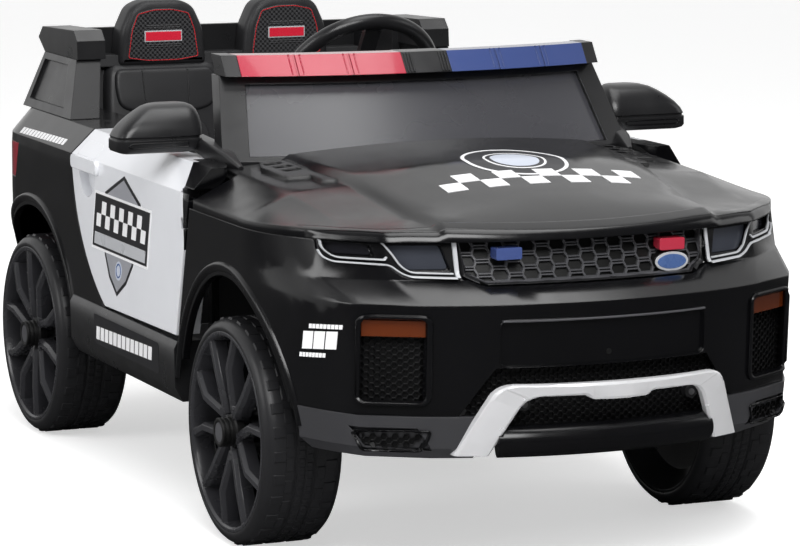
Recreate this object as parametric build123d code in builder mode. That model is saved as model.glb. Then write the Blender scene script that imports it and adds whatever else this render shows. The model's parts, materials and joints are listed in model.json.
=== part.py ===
from build123d import *
from math import cos, radians, sin
import os

# Two-seat children's ride-on police car, moulded in plastic. Millimetres.
# The front faces -Y, up is +Z, the car's left side is +X. The origin lies on the
# floor, below the middle of the whole car.

# ---------------------------------------------------------------- driving sizes
WHEELBASE = 654.0
FRONT_OVERHANG = 327.0          # front axle to the foremost point
REAR_OVERHANG = 189.0           # rear axle to the rearmost point
BODY_HALF_WIDTH = 292.0
WHEEL_RADIUS = 118.5
TYRE_WIDTH = 86.0
WHEEL_FACE_X = BODY_HALF_WIDTH + 1      # outer face of every wheel
SKIN = 8.0                      # moulded panel thickness
SEAM = 3.0                      # shut line round a door
FRONT_SEAM = 5.2                # wider ahead of the door, whose edge swings forward as it opens
TOUCH = 0.3                     # gap left between pieces that are seated on each other
RUNNING = 0.3                   # radial clearance of a pin or an axle

LENGTH = FRONT_OVERHANG + WHEELBASE + REAR_OVERHANG
FRONT_AXLE_Y = FRONT_OVERHANG - LENGTH / 2
REAR_AXLE_Y = FRONT_AXLE_Y + WHEELBASE
AXLE_Z = WHEEL_RADIUS
WHEEL_INNER_X = WHEEL_FACE_X - TYRE_WIDTH
SIDES = (("right", -1), ("left", 1))

PANEL_BOTTOM_Z = 172.0          # lower edge of the nose and tail panels
HOOD_SEAM_Z = 338.0             # hood rests on the front body here
WAIST_Z = 352.0                 # crease along doors and rear sides
BELT_Z = 380.0                  # top of doors and rear sides

# Plan outlines of the body, one row per level. Across the car, "out" is measured outwards and
# "in" inwards from the half width. Along it, the front columns are measured from the front axle
# and the rear columns from the rear axle.
# level z | side out, bend y | corner in, y | shoulder in, y | nose y | rear bend y, in |
# tail corner in, y | tail y
BODY_LEVELS = (
    (PANEL_BOTTOM_Z, -2, -44, 54, -220, 112, -255, -294, 60, 6, 96, 168, 183),
    (282.0, 0, -44, 51, -224, 109, -258, -298, 60, 4, 95, 170, 184),
    (302.0, 0, -44, 35, -166, 87, -216, -261, 60, 4, 95, 170, 183),
    (HOOD_SEAM_Z, 1, -44, 37, -155, 87, -206, -251, 60, 4, 96, 168, 180),
)
BELT_LEVELS = (
    (HOOD_SEAM_Z, 1, -44, 37, -155, 87, -206, -251, 60, 4, 96, 168, 180),
    (WAIST_Z, 1, -44, 37, -155, 87, -206, -251, 60, 5, 97, 166, 178),
    (BELT_Z, -21, -44, 52, -155, 87, -206, -251, 60, 29, 112, 152, 164),
)


def body_outline(level, inset=0.0):
    """Closed plan outline of the body at one level, moved inwards by inset."""
    (z, side_out, bend, corner_in, corner_y, shoulder_in, shoulder_y, nose,
     rear_bend, rear_in, tail_in, tail_corner, tail) = level
    side_x, corner_x, shoulder_x, rear_half, tail_x = (
        BODY_HALF_WIDTH + out for out in (side_out, -corner_in, -shoulder_in, -rear_in, -tail_in))
    with BuildSketch(Plane.XY.offset(z)) as outline:
        with BuildLine():
            TangentArc((0, FRONT_AXLE_Y + nose), (shoulder_x, FRONT_AXLE_Y + shoulder_y), tangent=(1, 0))
            Line((shoulder_x, FRONT_AXLE_Y + shoulder_y), (corner_x, FRONT_AXLE_Y + corner_y))
            TangentArc((side_x, FRONT_AXLE_Y + bend), (corner_x, FRONT_AXLE_Y + corner_y),
                       tangent=(0, -1))
            Line((side_x, FRONT_AXLE_Y + bend), (rear_half, REAR_AXLE_Y + rear_bend))
            TangentArc((rear_half, REAR_AXLE_Y + rear_bend), (tail_x, REAR_AXLE_Y + tail_corner),
                       tangent=(0, 1))
            TangentArc((0, REAR_AXLE_Y + tail), (tail_x, REAR_AXLE_Y + tail_corner), tangent=(1, 0))
            mirror(about=Plane.YZ)
        make_face()
        if inset:
            offset(amount=-inset, kind=Kind.INTERSECTION, mode=Mode.REPLACE)
    return outline.sketch


def body_volume(levels, inset=0.0):
    """Solid body between the levels, moved inwards by inset."""
    with BuildPart() as volume:
        loft(sections=[body_outline(level, inset) for level in levels], ruled=True)
    return volume.part


def body_skin(levels, outer, inner, sketch):
    """Front wall of the body between two insets, inside a front view drawn on a plane across the car."""
    with BuildPart() as band:
        add(body_volume(levels, outer))
        add(body_volume(levels, inner), mode=Mode.SUBTRACT)
        extrude(to_extrude=sketch, amount=LENGTH, dir=(0, -1, 0), mode=Mode.INTERSECT)
    return band.part


# ---------------------------------------------------------------- doors in side view
DOOR_TOP_FRONT = (FRONT_AXLE_Y + 96, BELT_Z)
DOOR_BOTTOM_FRONT = (FRONT_AXLE_Y + 154, 195.0)
DOOR_BOTTOM_REAR = (REAR_AXLE_Y - 263, 191.0)
DOOR_BULGE_REAR = (REAR_AXLE_Y - 170, 290.0)
DOOR_WAIST_REAR = (REAR_AXLE_Y - 154, WAIST_Z)
DOOR_TOP_REAR = (REAR_AXLE_Y - 168, BELT_Z)
DOOR_THICKNESS = 27.0


def door_outline(grow):
    """Side view of a door, on the YZ plane, grown all round."""
    with BuildSketch(Plane.YZ) as side:
        with BuildLine():
            Polyline(DOOR_WAIST_REAR, DOOR_TOP_REAR, DOOR_TOP_FRONT, DOOR_BOTTOM_FRONT, DOOR_BOTTOM_REAR)
            ThreePointArc(DOOR_BOTTOM_REAR, DOOR_BULGE_REAR, DOOR_WAIST_REAR)
        make_face()
        if grow:
            offset(amount=grow, kind=Kind.INTERSECTION, mode=Mode.REPLACE)
    return side.sketch_local


def arch_outline(axle_y, half_length, height):
    """Wheel arch in side view, open downwards."""
    with BuildSketch(Plane.YZ) as arch:
        with Locations((axle_y, AXLE_Z)):
            Ellipse(half_length, height)
        with Locations((axle_y, AXLE_Z / 2)):
            Rectangle(2 * half_length, AXLE_Z)
    return arch.sketch_local


FAR = 400.0                     # half width of tools that cut right across the car
ARCH_HALF_LENGTH = 143.0
ARCH_HEIGHT = 162.0
REAR_ARCH_HALF_LENGTH = 146.0
REAR_ARCH_HEIGHT = 154.0
A_POST_FRONT_Y = FRONT_AXLE_Y + 163     # wheel well's rear wall, clear of the steered tyre

# ---------------------------------------------------------------- front body
GRILLE_HALF_TOP = 137.0
GRILLE_HALF_BOTTOM = GRILLE_HALF_TOP - 23
GRILLE_BOTTOM_Z = 296.0
GRILLE_CORNER_Z = 306.0
NOSE_BACK_Y = FRONT_AXLE_Y - 100        # openings in the nose are cut from here forwards
# lower edge of a headlamp, from its outer end to the grille: x inwards from the half width, z
LAMP_EDGE = ((36, HOOD_SEAM_Z), (36, 328), (45, 319), (88, 318), (101, 307), (112, 303))
FOG_X = (BODY_HALF_WIDTH - 112, BODY_HALF_WIDTH - 56)
FOG_Z = (186.0, 268.0)
INTAKE_HALF_BOTTOM = FOG_X[0] - 30
INTAKE_HALF_TOP = INTAKE_HALF_BOTTOM - 34
INTAKE_TOP_Z = 219.0
PLATE_HALF = 112.0                      # shallow recess for a number plate
PLATE_Z = (220.0, 266.0)
PLATE_DEPTH = 3.0


def lamp_edge(side, inset=0.0):
    """Lower edge of one headlamp in front view, moved inwards by inset, down to the grille's side."""
    edge = [(side * (BODY_HALF_WIDTH - x - inset), z + inset) for x, z in LAMP_EDGE[1:]]
    inner_end = (side * (GRILLE_HALF_TOP + inset), LAMP_EDGE[-1][1] + inset)
    return [(edge[0][0], HOOD_SEAM_Z - inset), *edge, inner_end]


POST_OUTER_X = BODY_HALF_WIDTH - 47
POST_WALL = 8.0
POST_FRONT_Y = DOOR_TOP_FRONT[0] - SEAM - SKIN
POST_RIB_BOTTOM_Z = 288.0
POST_REAR_Y = A_POST_FRONT_Y + 12
FLOOR_TOP_Z = 143.0
POST_OUTLINE = (
    (POST_FRONT_Y, HOOD_SEAM_Z), (POST_REAR_Y, HOOD_SEAM_Z), (POST_REAR_Y, FLOOR_TOP_Z + TOUCH),
    (A_POST_FRONT_Y, FLOOR_TOP_Z + TOUCH), (A_POST_FRONT_Y, 250.0), (POST_FRONT_Y, POST_RIB_BOTTOM_Z),
)

with BuildSketch(Plane.XZ) as plate_front:
    with Locations((0, sum(PLATE_Z) / 2)):
        RectangleRounded(2 * PLATE_HALF, PLATE_Z[1] - PLATE_Z[0], 8)

with BuildPart() as front_body:
    add(body_volume(BODY_LEVELS))
    add(body_volume(BODY_LEVELS, SKIN), mode=Mode.SUBTRACT)
    # keep what lies ahead of the slanted front edge of the doors
    with BuildSketch(Plane.YZ) as ahead_of_doors:
        with BuildLine():
            Polyline((-LENGTH, 0), (-LENGTH, 500), (DOOR_TOP_FRONT[0] - FRONT_SEAM, 500),
                     (DOOR_TOP_FRONT[0] - FRONT_SEAM, DOOR_TOP_FRONT[1]),
                     (DOOR_BOTTOM_FRONT[0] - FRONT_SEAM, DOOR_BOTTOM_FRONT[1] - 2 * SEAM),
                     (DOOR_BOTTOM_FRONT[0] - FRONT_SEAM, 0), close=True)
        make_face()
    extrude(amount=FAR, both=True, mode=Mode.INTERSECT)
    # wheel arches
    with BuildSketch(Plane.YZ) as arches:
        add(arch_outline(FRONT_AXLE_Y, ARCH_HALF_LENGTH, ARCH_HEIGHT))
    extrude(amount=FAR, both=True, mode=Mode.SUBTRACT)
    # opening for grille and headlamps
    with BuildSketch(Plane.XZ.offset(-NOSE_BACK_Y)) as face_opening:
        with BuildLine():
            Polyline(*lamp_edge(-1), (-GRILLE_HALF_BOTTOM, GRILLE_BOTTOM_Z),
                     (GRILLE_HALF_BOTTOM, GRILLE_BOTTOM_Z), *reversed(lamp_edge(1)), close=True)
        make_face()
    extrude(amount=FAR, mode=Mode.SUBTRACT)
    add(body_skin(BODY_LEVELS, 0, PLATE_DEPTH, plate_front.sketch), mode=Mode.SUBTRACT)
    # fog recesses and lower intake
    with BuildSketch(Plane.XZ.offset(-NOSE_BACK_Y)) as lower_openings:
        for name, side in SIDES:
            with Locations((side * sum(FOG_X) / 2, sum(FOG_Z) / 2)):
                Rectangle(FOG_X[1] - FOG_X[0], FOG_Z[1] - FOG_Z[0])
        with BuildLine():
            Polyline((-INTAKE_HALF_BOTTOM, 0), (-INTAKE_HALF_BOTTOM, PANEL_BOTTOM_Z),
                     (-INTAKE_HALF_TOP, INTAKE_TOP_Z), (INTAKE_HALF_TOP, INTAKE_TOP_Z),
                     (INTAKE_HALF_BOTTOM, PANEL_BOTTOM_Z), (INTAKE_HALF_BOTTOM, 0), close=True)
        make_face()
    extrude(amount=FAR, mode=Mode.SUBTRACT)
    # inner door posts behind the wheels, tied to the side skin by a rib
    with BuildSketch(Plane.YZ.offset(POST_OUTER_X - POST_WALL)) as post_sides:
        with BuildLine():
            Polyline(*POST_OUTLINE, close=True)
        make_face()
    extrude(amount=POST_WALL)
    with BuildSketch(Plane.YZ.offset(-POST_OUTER_X)) as post_sides_right:
        with BuildLine():
            Polyline(*POST_OUTLINE, close=True)
        make_face()
    extrude(amount=POST_WALL)
    for name, side in SIDES:
        with BuildSketch(Plane.XY.offset(POST_RIB_BOTTOM_Z)) as rib:
            with Locations((side * (POST_OUTER_X - 2 + BODY_HALF_WIDTH - 2) / 2, POST_FRONT_Y + SKIN / 2)):
                Rectangle(BODY_HALF_WIDTH - POST_OUTER_X, SKIN)
        extrude(amount=HOOD_SEAM_Z - POST_RIB_BOTTOM_Z)
front_body.part.label = "front_body"

# ---------------------------------------------------------------- chassis tub
SILL_BOTTOM_Z = 122.0
SILL_TOP_Z = 188.0
SILL_INNER_X = BODY_HALF_WIDTH - 30
FLOOR_BOTTOM_Z = 131.0
FIREWALL_TOP_Z = 300.0
TUB_HALF_WIDTH = POST_OUTER_X - POST_WALL - TOUCH
BAY_CLEARANCE = 12.0            # rear wheel to the seat bay's outer wall
SEAT_BAY_HALF = WHEEL_INNER_X - BAY_CLEARANCE - SKIN
RISER_Y = REAR_AXLE_Y - 151     # front face of the seat riser
SHELF_TOP_Z = 235.0
SHELF_REAR_Y = REAR_AXLE_Y + 144
BEAM_HALF_WIDTH = 62.0
BEAM_FRONT_Y = FRONT_AXLE_Y - 232
BEAM_BOTTOM_Z = 150.0
BEAM_TOP_Z = 195.0
BEAM_WALL = 6.0
EYE_HALF_HEIGHT = 12.0          # half height of the kingpin eyes
KNUCKLE_PLATE = 5.0
PLATE_GAP = 1.0
ROD_EYE_HEIGHT = 8.0
LOWER_PLATE_TOP_Z = AXLE_Z - EYE_HALF_HEIGHT - PLATE_GAP
UPPER_PLATE_BOTTOM_Z = AXLE_Z + EYE_HALF_HEIGHT + PLATE_GAP
TIE_ROD_Z = LOWER_PLATE_TOP_Z - KNUCKLE_PLATE - PLATE_GAP - ROD_EYE_HEIGHT / 2
ARM_LENGTH = 45.0               # kingpin to tie rod, front to rear
TIE_ROD_Y = FRONT_AXLE_Y + ARM_LENGTH
COLUMN_TILT = 35.0              # steering column above the horizontal
CRANK_LENGTH = 29.4
CRANK_PIN_RADIUS = 4.0
CRANK_PIN_LENGTH = 14.0
COLUMN_X = 70.0
HUB_CENTRE = (COLUMN_X, FRONT_AXLE_Y + 510, 420.0)
SHAFT_RADIUS = 7.0
PIN_DROP = CRANK_LENGTH * cos(radians(COLUMN_TILT)) + CRANK_PIN_LENGTH / 2 * sin(radians(COLUMN_TILT))
SHAFT_LENGTH = (HUB_CENTRE[2] - TIE_ROD_Z - PIN_DROP) / sin(radians(COLUMN_TILT))
CRANK_PIN_Y = (HUB_CENTRE[1] - (SHAFT_LENGTH + CRANK_PIN_LENGTH / 2) * cos(radians(COLUMN_TILT))
               + CRANK_LENGTH * sin(radians(COLUMN_TILT)))
AXLE_RADIUS = 6.0
SHAFT_DIRECTION = (0, cos(radians(COLUMN_TILT)), sin(radians(COLUMN_TILT)))
shaft_plane = Plane(origin=HUB_CENTRE, x_dir=(1, 0, 0), z_dir=SHAFT_DIRECTION)

with BuildPart() as tub:
    # floor of the footwell
    with BuildSketch(Plane.XY.offset(FLOOR_BOTTOM_Z)) as floor_plan:
        with Locations((0, (A_POST_FRONT_Y + RISER_Y + SKIN) / 2)):
            Rectangle(2 * SILL_INNER_X, RISER_Y + SKIN - A_POST_FRONT_Y)
    extrude(amount=FLOOR_TOP_Z - FLOOR_BOTTOM_Z)
    # sills below the doors
    with BuildSketch(Plane.XZ.offset(-DOOR_BOTTOM_FRONT[0])) as sill_section:
        with BuildLine():
            Polyline((SILL_INNER_X, SILL_BOTTOM_Z), (BODY_HALF_WIDTH - 10, SILL_BOTTOM_Z),
                     (BODY_HALF_WIDTH - 1, SILL_BOTTOM_Z + 16), (BODY_HALF_WIDTH, SILL_TOP_Z - 8),
                     (BODY_HALF_WIDTH - 4, SILL_TOP_Z), (SILL_INNER_X, SILL_TOP_Z), close=True)
        make_face()
        mirror(about=Plane.YZ)
    extrude(amount=-(RISER_Y - DOOR_BOTTOM_FRONT[0]))
    # firewall, seat riser and seat shelf
    with BuildSketch(Plane.XY.offset(FLOOR_TOP_Z)) as firewall:
        with Locations((0, A_POST_FRONT_Y + 6)):
            Rectangle(2 * TUB_HALF_WIDTH, 12)
    extrude(amount=FIREWALL_TOP_Z - FLOOR_TOP_Z)
    with BuildSketch(Plane.XY.offset(FLOOR_TOP_Z)) as riser:
        with Locations((0, RISER_Y + SKIN / 2)):
            Rectangle(2 * (SEAT_BAY_HALF - TOUCH), SKIN)
    extrude(amount=SHELF_TOP_Z - FLOOR_TOP_Z)
    with BuildSketch(Plane.XY.offset(SHELF_TOP_Z - 10)) as shelf:
        with Locations((0, (RISER_Y + SHELF_REAR_Y) / 2)):
            Rectangle(2 * (SEAT_BAY_HALF - TOUCH), SHELF_REAR_Y - RISER_Y)
    extrude(amount=10)
    with BuildSketch(Plane.XY.offset(FLOOR_BOTTOM_Z)) as shelf_walls:
        for name, side in SIDES:
            with Locations((side * (SEAT_BAY_HALF - TOUCH - SKIN / 2), (RISER_Y + SHELF_REAR_Y) / 2)):
                Rectangle(SKIN, SHELF_REAR_Y - RISER_Y)
    extrude(amount=SHELF_TOP_Z - FLOOR_BOTTOM_Z)
    # channel beam that runs forward between the front wheels
    with BuildSketch(Plane.XZ.offset(-A_POST_FRONT_Y)) as beam_section:
        with Locations((0, (BEAM_BOTTOM_Z + BEAM_TOP_Z) / 2)):
            Rectangle(2 * BEAM_HALF_WIDTH, BEAM_TOP_Z - BEAM_BOTTOM_Z)
        with Locations((0, (BEAM_BOTTOM_Z + BEAM_TOP_Z) / 2 - BEAM_WALL)):
            Rectangle(2 * (BEAM_HALF_WIDTH - BEAM_WALL), BEAM_TOP_Z - BEAM_BOTTOM_Z, mode=Mode.SUBTRACT)
    extrude(amount=A_POST_FRONT_Y - BEAM_FRONT_Y)
    # bores for the rear axle and the steering shaft
    with BuildSketch(Plane.YZ) as axle_bore:
        with Locations((REAR_AXLE_Y, AXLE_Z)):
            Circle(AXLE_RADIUS + RUNNING)
    extrude(amount=FAR, both=True, mode=Mode.SUBTRACT)
    with BuildSketch(shaft_plane) as shaft_bore:
        Circle(SHAFT_RADIUS + RUNNING)
    extrude(amount=-SHAFT_LENGTH, mode=Mode.SUBTRACT)
tub.part.label = "tub"

# ---------------------------------------------------------------- hood
# Cross-sections of the hood; y is measured from the front axle and x inwards from the half width:
# y | edge z | outer shelf x, z | inner shelf x, z | raised panel x, z | crown z
HOOD_ROWS = (
    (170, 348, 52, 377, 104, 382, 114, 390, 402),
    (-42, 346, 56, 368, 120, 373, 130, 381, 393),
    (-160, 343, 67, 350, 134, 354, 142, 361, 372),
    (-212, 341, 70, 347, 137, 351, 144, 356, 361),
    (-262, 339.5, 72, 340.5, 140, 341.5, 147, 342, 344),
)
# plan of the raised bezel of a hood vent: x inwards from the half width, y from the front axle
VENT_PLAN = ((85, 119), (111, 107), (113, 60), (112, 38), (118, -17),
             (103, -11), (103, 20), (78, 27), (74, 89))
VENT_RISE = 3.5
VENT_SLOT = (19.0, 13.0, 4.0)           # width, length, corner radius
VENT_SLOTS = ((92, 100), (95, 79), (97, 58))        # x inwards from the half width, y from the front axle
FRAME_BASE_Z = 346.0
FRAME_WAIST_Z = 380.0
FRAME_TOP_Z = 466.0
# windscreen frame in plan, per level: z | half width | y of the ends from the front axle | bow forwards
FRAME_LEVELS = (
    (FRAME_BASE_Z, BODY_HALF_WIDTH - 52, 142, 45),
    (FRAME_WAIST_Z, BODY_HALF_WIDTH - 52, 142, 45),
    (FRAME_TOP_Z, BODY_HALF_WIDTH - 69, 198, 38),
)
FRAME_DEPTH = 22.0
HOOD_GAP = 2.0


def hood_section(row, drop=0.0, floor=HOOD_SEAM_Z):
    """Cross-section of the hood on a plane across the car, lowered by drop."""
    y, edge, outer_in, outer_z, inner_in, inner_z, raised_in, raised_z, crown = row
    outer_x, inner_x, raised_x = (BODY_HALF_WIDTH - inwards for inwards in (outer_in, inner_in, raised_in))
    half = BODY_HALF_WIDTH + 1
    with BuildSketch(Plane.XZ.offset(-(FRONT_AXLE_Y + y))) as section:
        with BuildLine():
            Polyline((raised_x, raised_z - drop), (inner_x, inner_z - drop), (outer_x, outer_z - drop),
                     (half, edge - drop), (half, floor - drop), (-half, floor - drop), (-half, edge - drop),
                     (-outer_x, outer_z - drop), (-inner_x, inner_z - drop), (-raised_x, raised_z - drop))
            ThreePointArc((-raised_x, raised_z - drop), (0, crown - drop), (raised_x, raised_z - drop))
        make_face()
    return section.sketch


def hood_volume(drop, inset):
    """Space below the hood's surface, lowered by drop, inside the plan outline moved in by inset."""
    with BuildPart() as volume:
        loft(sections=[hood_section(row, drop) for row in HOOD_ROWS], ruled=True)
        extrude(to_extrude=body_outline(BODY_LEVELS[-1], inset), amount=100, both=True, mode=Mode.INTERSECT)
    return volume.part


def crescent(z, half, end_y, bow, depth):
    """Bowed strip in plan: ends at end_y, its middle bow further forward, depth thick."""
    with BuildSketch(Plane.XY.offset(z)) as strip:
        with BuildLine():
            ThreePointArc((-half, end_y), (0, end_y - bow), (half, end_y))
            Line((half, end_y), (half, end_y + depth))
            ThreePointArc((half, end_y + depth), (0, end_y + depth - bow), (-half, end_y + depth))
            Line((-half, end_y + depth), (-half, end_y))
        make_face()
    return strip.sketch


def bowed_band(levels, depth, back=0.0):
    """Band lofted through crescents; rows are z, half width, end y from the front axle, bow."""
    with BuildPart() as band:
        loft(sections=[crescent(z, half, FRONT_AXLE_Y + end + back, bow, depth)
                       for z, half, end, bow in levels], ruled=True)
    return band.part


with BuildPart() as vent_bezels:
    for name, side in SIDES:
        with BuildSketch(Plane.XY.offset(HOOD_SEAM_Z)) as vent_plan:
            with BuildLine():
                Polyline(*((side * (BODY_HALF_WIDTH - x), FRONT_AXLE_Y + y) for x, y in VENT_PLAN),
                         close=True)
            make_face()
        extrude(amount=100)
    add(hood_volume(-VENT_RISE, 0), mode=Mode.INTERSECT)

with BuildPart() as hood:
    add(hood_volume(0, 0))
    add(vent_bezels.part)
    add(hood_volume(SKIN, SKIN), mode=Mode.SUBTRACT)
    with BuildSketch(Plane.XY.offset(HOOD_SEAM_Z + SKIN)) as vent_slots:
        for name, side in SIDES:
            with Locations(*((side * (BODY_HALF_WIDTH - x), FRONT_AXLE_Y + y) for x, y in VENT_SLOTS)):
                RectangleRounded(*VENT_SLOT)
    extrude(amount=100, mode=Mode.SUBTRACT)
    with BuildSketch(Plane.XY.offset(HOOD_SEAM_Z - 1)) as behind_hood:
        half = FRAME_LEVELS[0][1] + HOOD_GAP
        end = FRONT_AXLE_Y + FRAME_LEVELS[0][2] - HOOD_GAP
        bow = FRAME_LEVELS[0][3]
        with BuildLine():
            ThreePointArc((-half, end), (0, end - bow), (half, end))
            Polyline((half, end), (half, POST_FRONT_Y + SKIN), (FAR, POST_FRONT_Y + SKIN), (FAR, FAR),
                     (-FAR, FAR), (-FAR, POST_FRONT_Y + SKIN), (-half, POST_FRONT_Y + SKIN), (-half, end))
        make_face()
    extrude(amount=100, mode=Mode.SUBTRACT)
hood.part.label = "hood"

# ---------------------------------------------------------------- windscreen
GLASS_BOTTOM = (BODY_HALF_WIDTH - 80, 384.0)
GLASS_TOP = (BODY_HALF_WIDTH - 94, 457.0)
GLASS_THICKNESS = 4.0
GLASS_SET_BACK = 6.0

with BuildPart() as windscreen_frame:
    add(bowed_band(FRAME_LEVELS, FRAME_DEPTH))
    with BuildSketch(Plane.XZ.offset(-FAR)) as glass_opening:
        with BuildLine():
            Polyline((-GLASS_BOTTOM[0], GLASS_BOTTOM[1]), (-GLASS_TOP[0], GLASS_TOP[1]), GLASS_TOP,
                     GLASS_BOTTOM, close=True)
        make_face()
    extrude(amount=2 * FAR, mode=Mode.SUBTRACT)
windscreen_frame.part.label = "windscreen_frame"

with BuildPart() as windscreen:
    add(bowed_band(FRAME_LEVELS, GLASS_THICKNESS, GLASS_SET_BACK))
    with BuildSketch(Plane.XZ.offset(-FAR)) as glass_shape:
        with BuildLine():
            Polyline((-GLASS_BOTTOM[0], GLASS_BOTTOM[1]), (-GLASS_TOP[0], GLASS_TOP[1]), GLASS_TOP,
                     GLASS_BOTTOM, close=True)
        make_face()
        offset(amount=-TOUCH, kind=Kind.INTERSECTION, mode=Mode.REPLACE)
    extrude(amount=2 * FAR, mode=Mode.INTERSECT)
windscreen.part.label = "windscreen"

# ---------------------------------------------------------------- light bar
BAR_Z = (FRAME_TOP_Z + TOUCH, 488.0)
BAR_HALF = BODY_HALF_WIDTH - 86
BAR_CENTRE_HALF = 27.0
BAR_END_HALF = BODY_HALF_WIDTH - 70
# z | half width | y of the ends from the front axle | bow forwards
BAR_LEVELS = ((BAR_Z[0], BODY_HALF_WIDTH - 62, 182, 40), (BAR_Z[1], BODY_HALF_WIDTH - 62, 197, 38))
BAR_DEPTH = 30.0
BAR_PARTS = (("red_lens", -BAR_HALF, -BAR_CENTRE_HALF), ("blue_lens", BAR_CENTRE_HALF, BAR_HALF))
LENS_CELLS = 3
LENS_GROOVE = (2.4, 2.0)        # width and depth of the groove between two lens cells

with BuildPart() as light_bar_base:
    add(bowed_band(BAR_LEVELS, BAR_DEPTH))
    with BuildSketch(Plane.XY.offset(BAR_Z[0])) as lens_space:
        for name, low_x, high_x in BAR_PARTS:
            with Locations(((low_x + high_x) / 2, FRONT_AXLE_Y + 170)):
                Rectangle(high_x - low_x, 200)
    extrude(amount=BAR_Z[1] - BAR_Z[0], mode=Mode.SUBTRACT)
    with BuildSketch(Plane.XY.offset(BAR_Z[0])) as bar_ends:
        Rectangle(2 * BAR_END_HALF, LENGTH)
    extrude(amount=BAR_Z[1] - BAR_Z[0], mode=Mode.INTERSECT)
    bowed_back = bowed_band(((BAR_Z[0], BAR_END_HALF, 206, 38), (BAR_Z[1] - 4, BAR_END_HALF, 206, 38)), 8)
    add(bowed_back)
light_bar_base.part.label = "light_bar_base"

def lens_grooves(low_x, high_x):
    """Shallow grooves that part a lens into its cells."""
    with BuildPart() as grooves:
        with BuildSketch(Plane.XY.offset(BAR_Z[0])) as groove_plan:
            with Locations(((low_x + high_x) / 2, FRONT_AXLE_Y + 170)):
                with GridLocations((high_x - low_x) / LENS_CELLS, 1, LENS_CELLS - 1, 1):
                    Rectangle(LENS_GROOVE[0], 200)
        extrude(amount=BAR_Z[1] - BAR_Z[0])
        add(bowed_band(BAR_LEVELS, BAR_DEPTH, LENS_GROOVE[1]), mode=Mode.SUBTRACT)
    return grooves.part


lenses = []
for name, low_x, high_x in BAR_PARTS:
    with BuildPart() as lens:
        add(bowed_band(BAR_LEVELS, BAR_DEPTH - 6.5))
        with BuildSketch(Plane.XY.offset(BAR_Z[0])) as lens_plan:
            with Locations(((low_x + high_x) / 2, FRONT_AXLE_Y + 170)):
                Rectangle(high_x - low_x - 2 * TOUCH, 200)
        extrude(amount=BAR_Z[1] - BAR_Z[0], mode=Mode.INTERSECT)
        add(lens_grooves(low_x, high_x), mode=Mode.SUBTRACT)
        add(light_bar_base.part, mode=Mode.SUBTRACT)
    lens.part.label = name
    lenses.append(lens)

# ---------------------------------------------------------------- dashboard and steering
DASH_HALF = TUB_HALF_WIDTH - 1
DASH_TOP_Z = 371.0
DASH_OUTLINE = (
    (A_POST_FRONT_Y - 50, FRAME_BASE_Z - TOUCH), (A_POST_FRONT_Y + 3, FRAME_BASE_Z - TOUCH),
    (A_POST_FRONT_Y + 3, DASH_TOP_Z), (FRONT_AXLE_Y + 300, DASH_TOP_Z), (FRONT_AXLE_Y + 328, 352.0),
    (FRONT_AXLE_Y + 332, 322.0), (FRONT_AXLE_Y + 318, FIREWALL_TOP_Z + TOUCH),
    (A_POST_FRONT_Y - 8, FIREWALL_TOP_Z + TOUCH), (A_POST_FRONT_Y - 50, 332.0),
)
DASH_WALL = 6.0
DASH_HOLLOW_BOTTOM_Z = FIREWALL_TOP_Z - 20          # the hollow is open below
DASH_HOLLOW = (
    (A_POST_FRONT_Y + 3 + DASH_WALL, DASH_HOLLOW_BOTTOM_Z),
    (A_POST_FRONT_Y + 3 + DASH_WALL, DASH_TOP_Z - DASH_WALL),
    (FRONT_AXLE_Y + 297, DASH_TOP_Z - DASH_WALL), (FRONT_AXLE_Y + 322, 349.0), (FRONT_AXLE_Y + 325.5, 323.0),
    (FRONT_AXLE_Y + 312, FIREWALL_TOP_Z), (FRONT_AXLE_Y + 312, DASH_HOLLOW_BOTTOM_Z),
)

with BuildPart() as dashboard:
    with BuildSketch(Plane.YZ.offset(-DASH_HALF)) as dash_side:
        with BuildLine():
            Polyline(*DASH_OUTLINE, close=True)
        make_face()
    extrude(amount=2 * DASH_HALF)
    with BuildSketch(Plane.YZ.offset(-DASH_HALF + DASH_WALL)) as dash_hollow:
        with BuildLine():
            Polyline(*DASH_HOLLOW, close=True)
        make_face()
    extrude(amount=2 * (DASH_HALF - DASH_WALL), mode=Mode.SUBTRACT)
    with BuildSketch(shaft_plane) as column_bore:
        Circle(SHAFT_RADIUS + RUNNING)
    extrude(amount=-FAR, mode=Mode.SUBTRACT)
dashboard.part.label = "dashboard"

RIM_RADIUS = 92.0
RIM_TUBE = 9.0

with BuildPart() as steering_wheel:
    with BuildSketch(shaft_plane) as hub_face:
        Circle(30)
    extrude(amount=14, both=True)
    with BuildSketch(Plane(origin=shaft_plane.from_local_coords((RIM_RADIUS, 0, 0)), x_dir=(1, 0, 0),
                           z_dir=shaft_plane.y_dir)) as rim_section:
        Circle(RIM_TUBE)
    revolve(axis=Axis(HUB_CENTRE, SHAFT_DIRECTION), revolution_arc=360)
    for turn in (0, 180, 270):
        with BuildSketch(shaft_plane) as spoke:
            with PolarLocations((RIM_RADIUS + 20) / 2, 1, start_angle=turn):
                Rectangle(RIM_RADIUS - 24, 20)
        extrude(amount=4, both=True)
    with BuildSketch(shaft_plane.offset(-14)) as socket:
        Circle(SHAFT_RADIUS)
    extrude(amount=10, mode=Mode.SUBTRACT)
steering_wheel.part.label = "steering_wheel"

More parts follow.
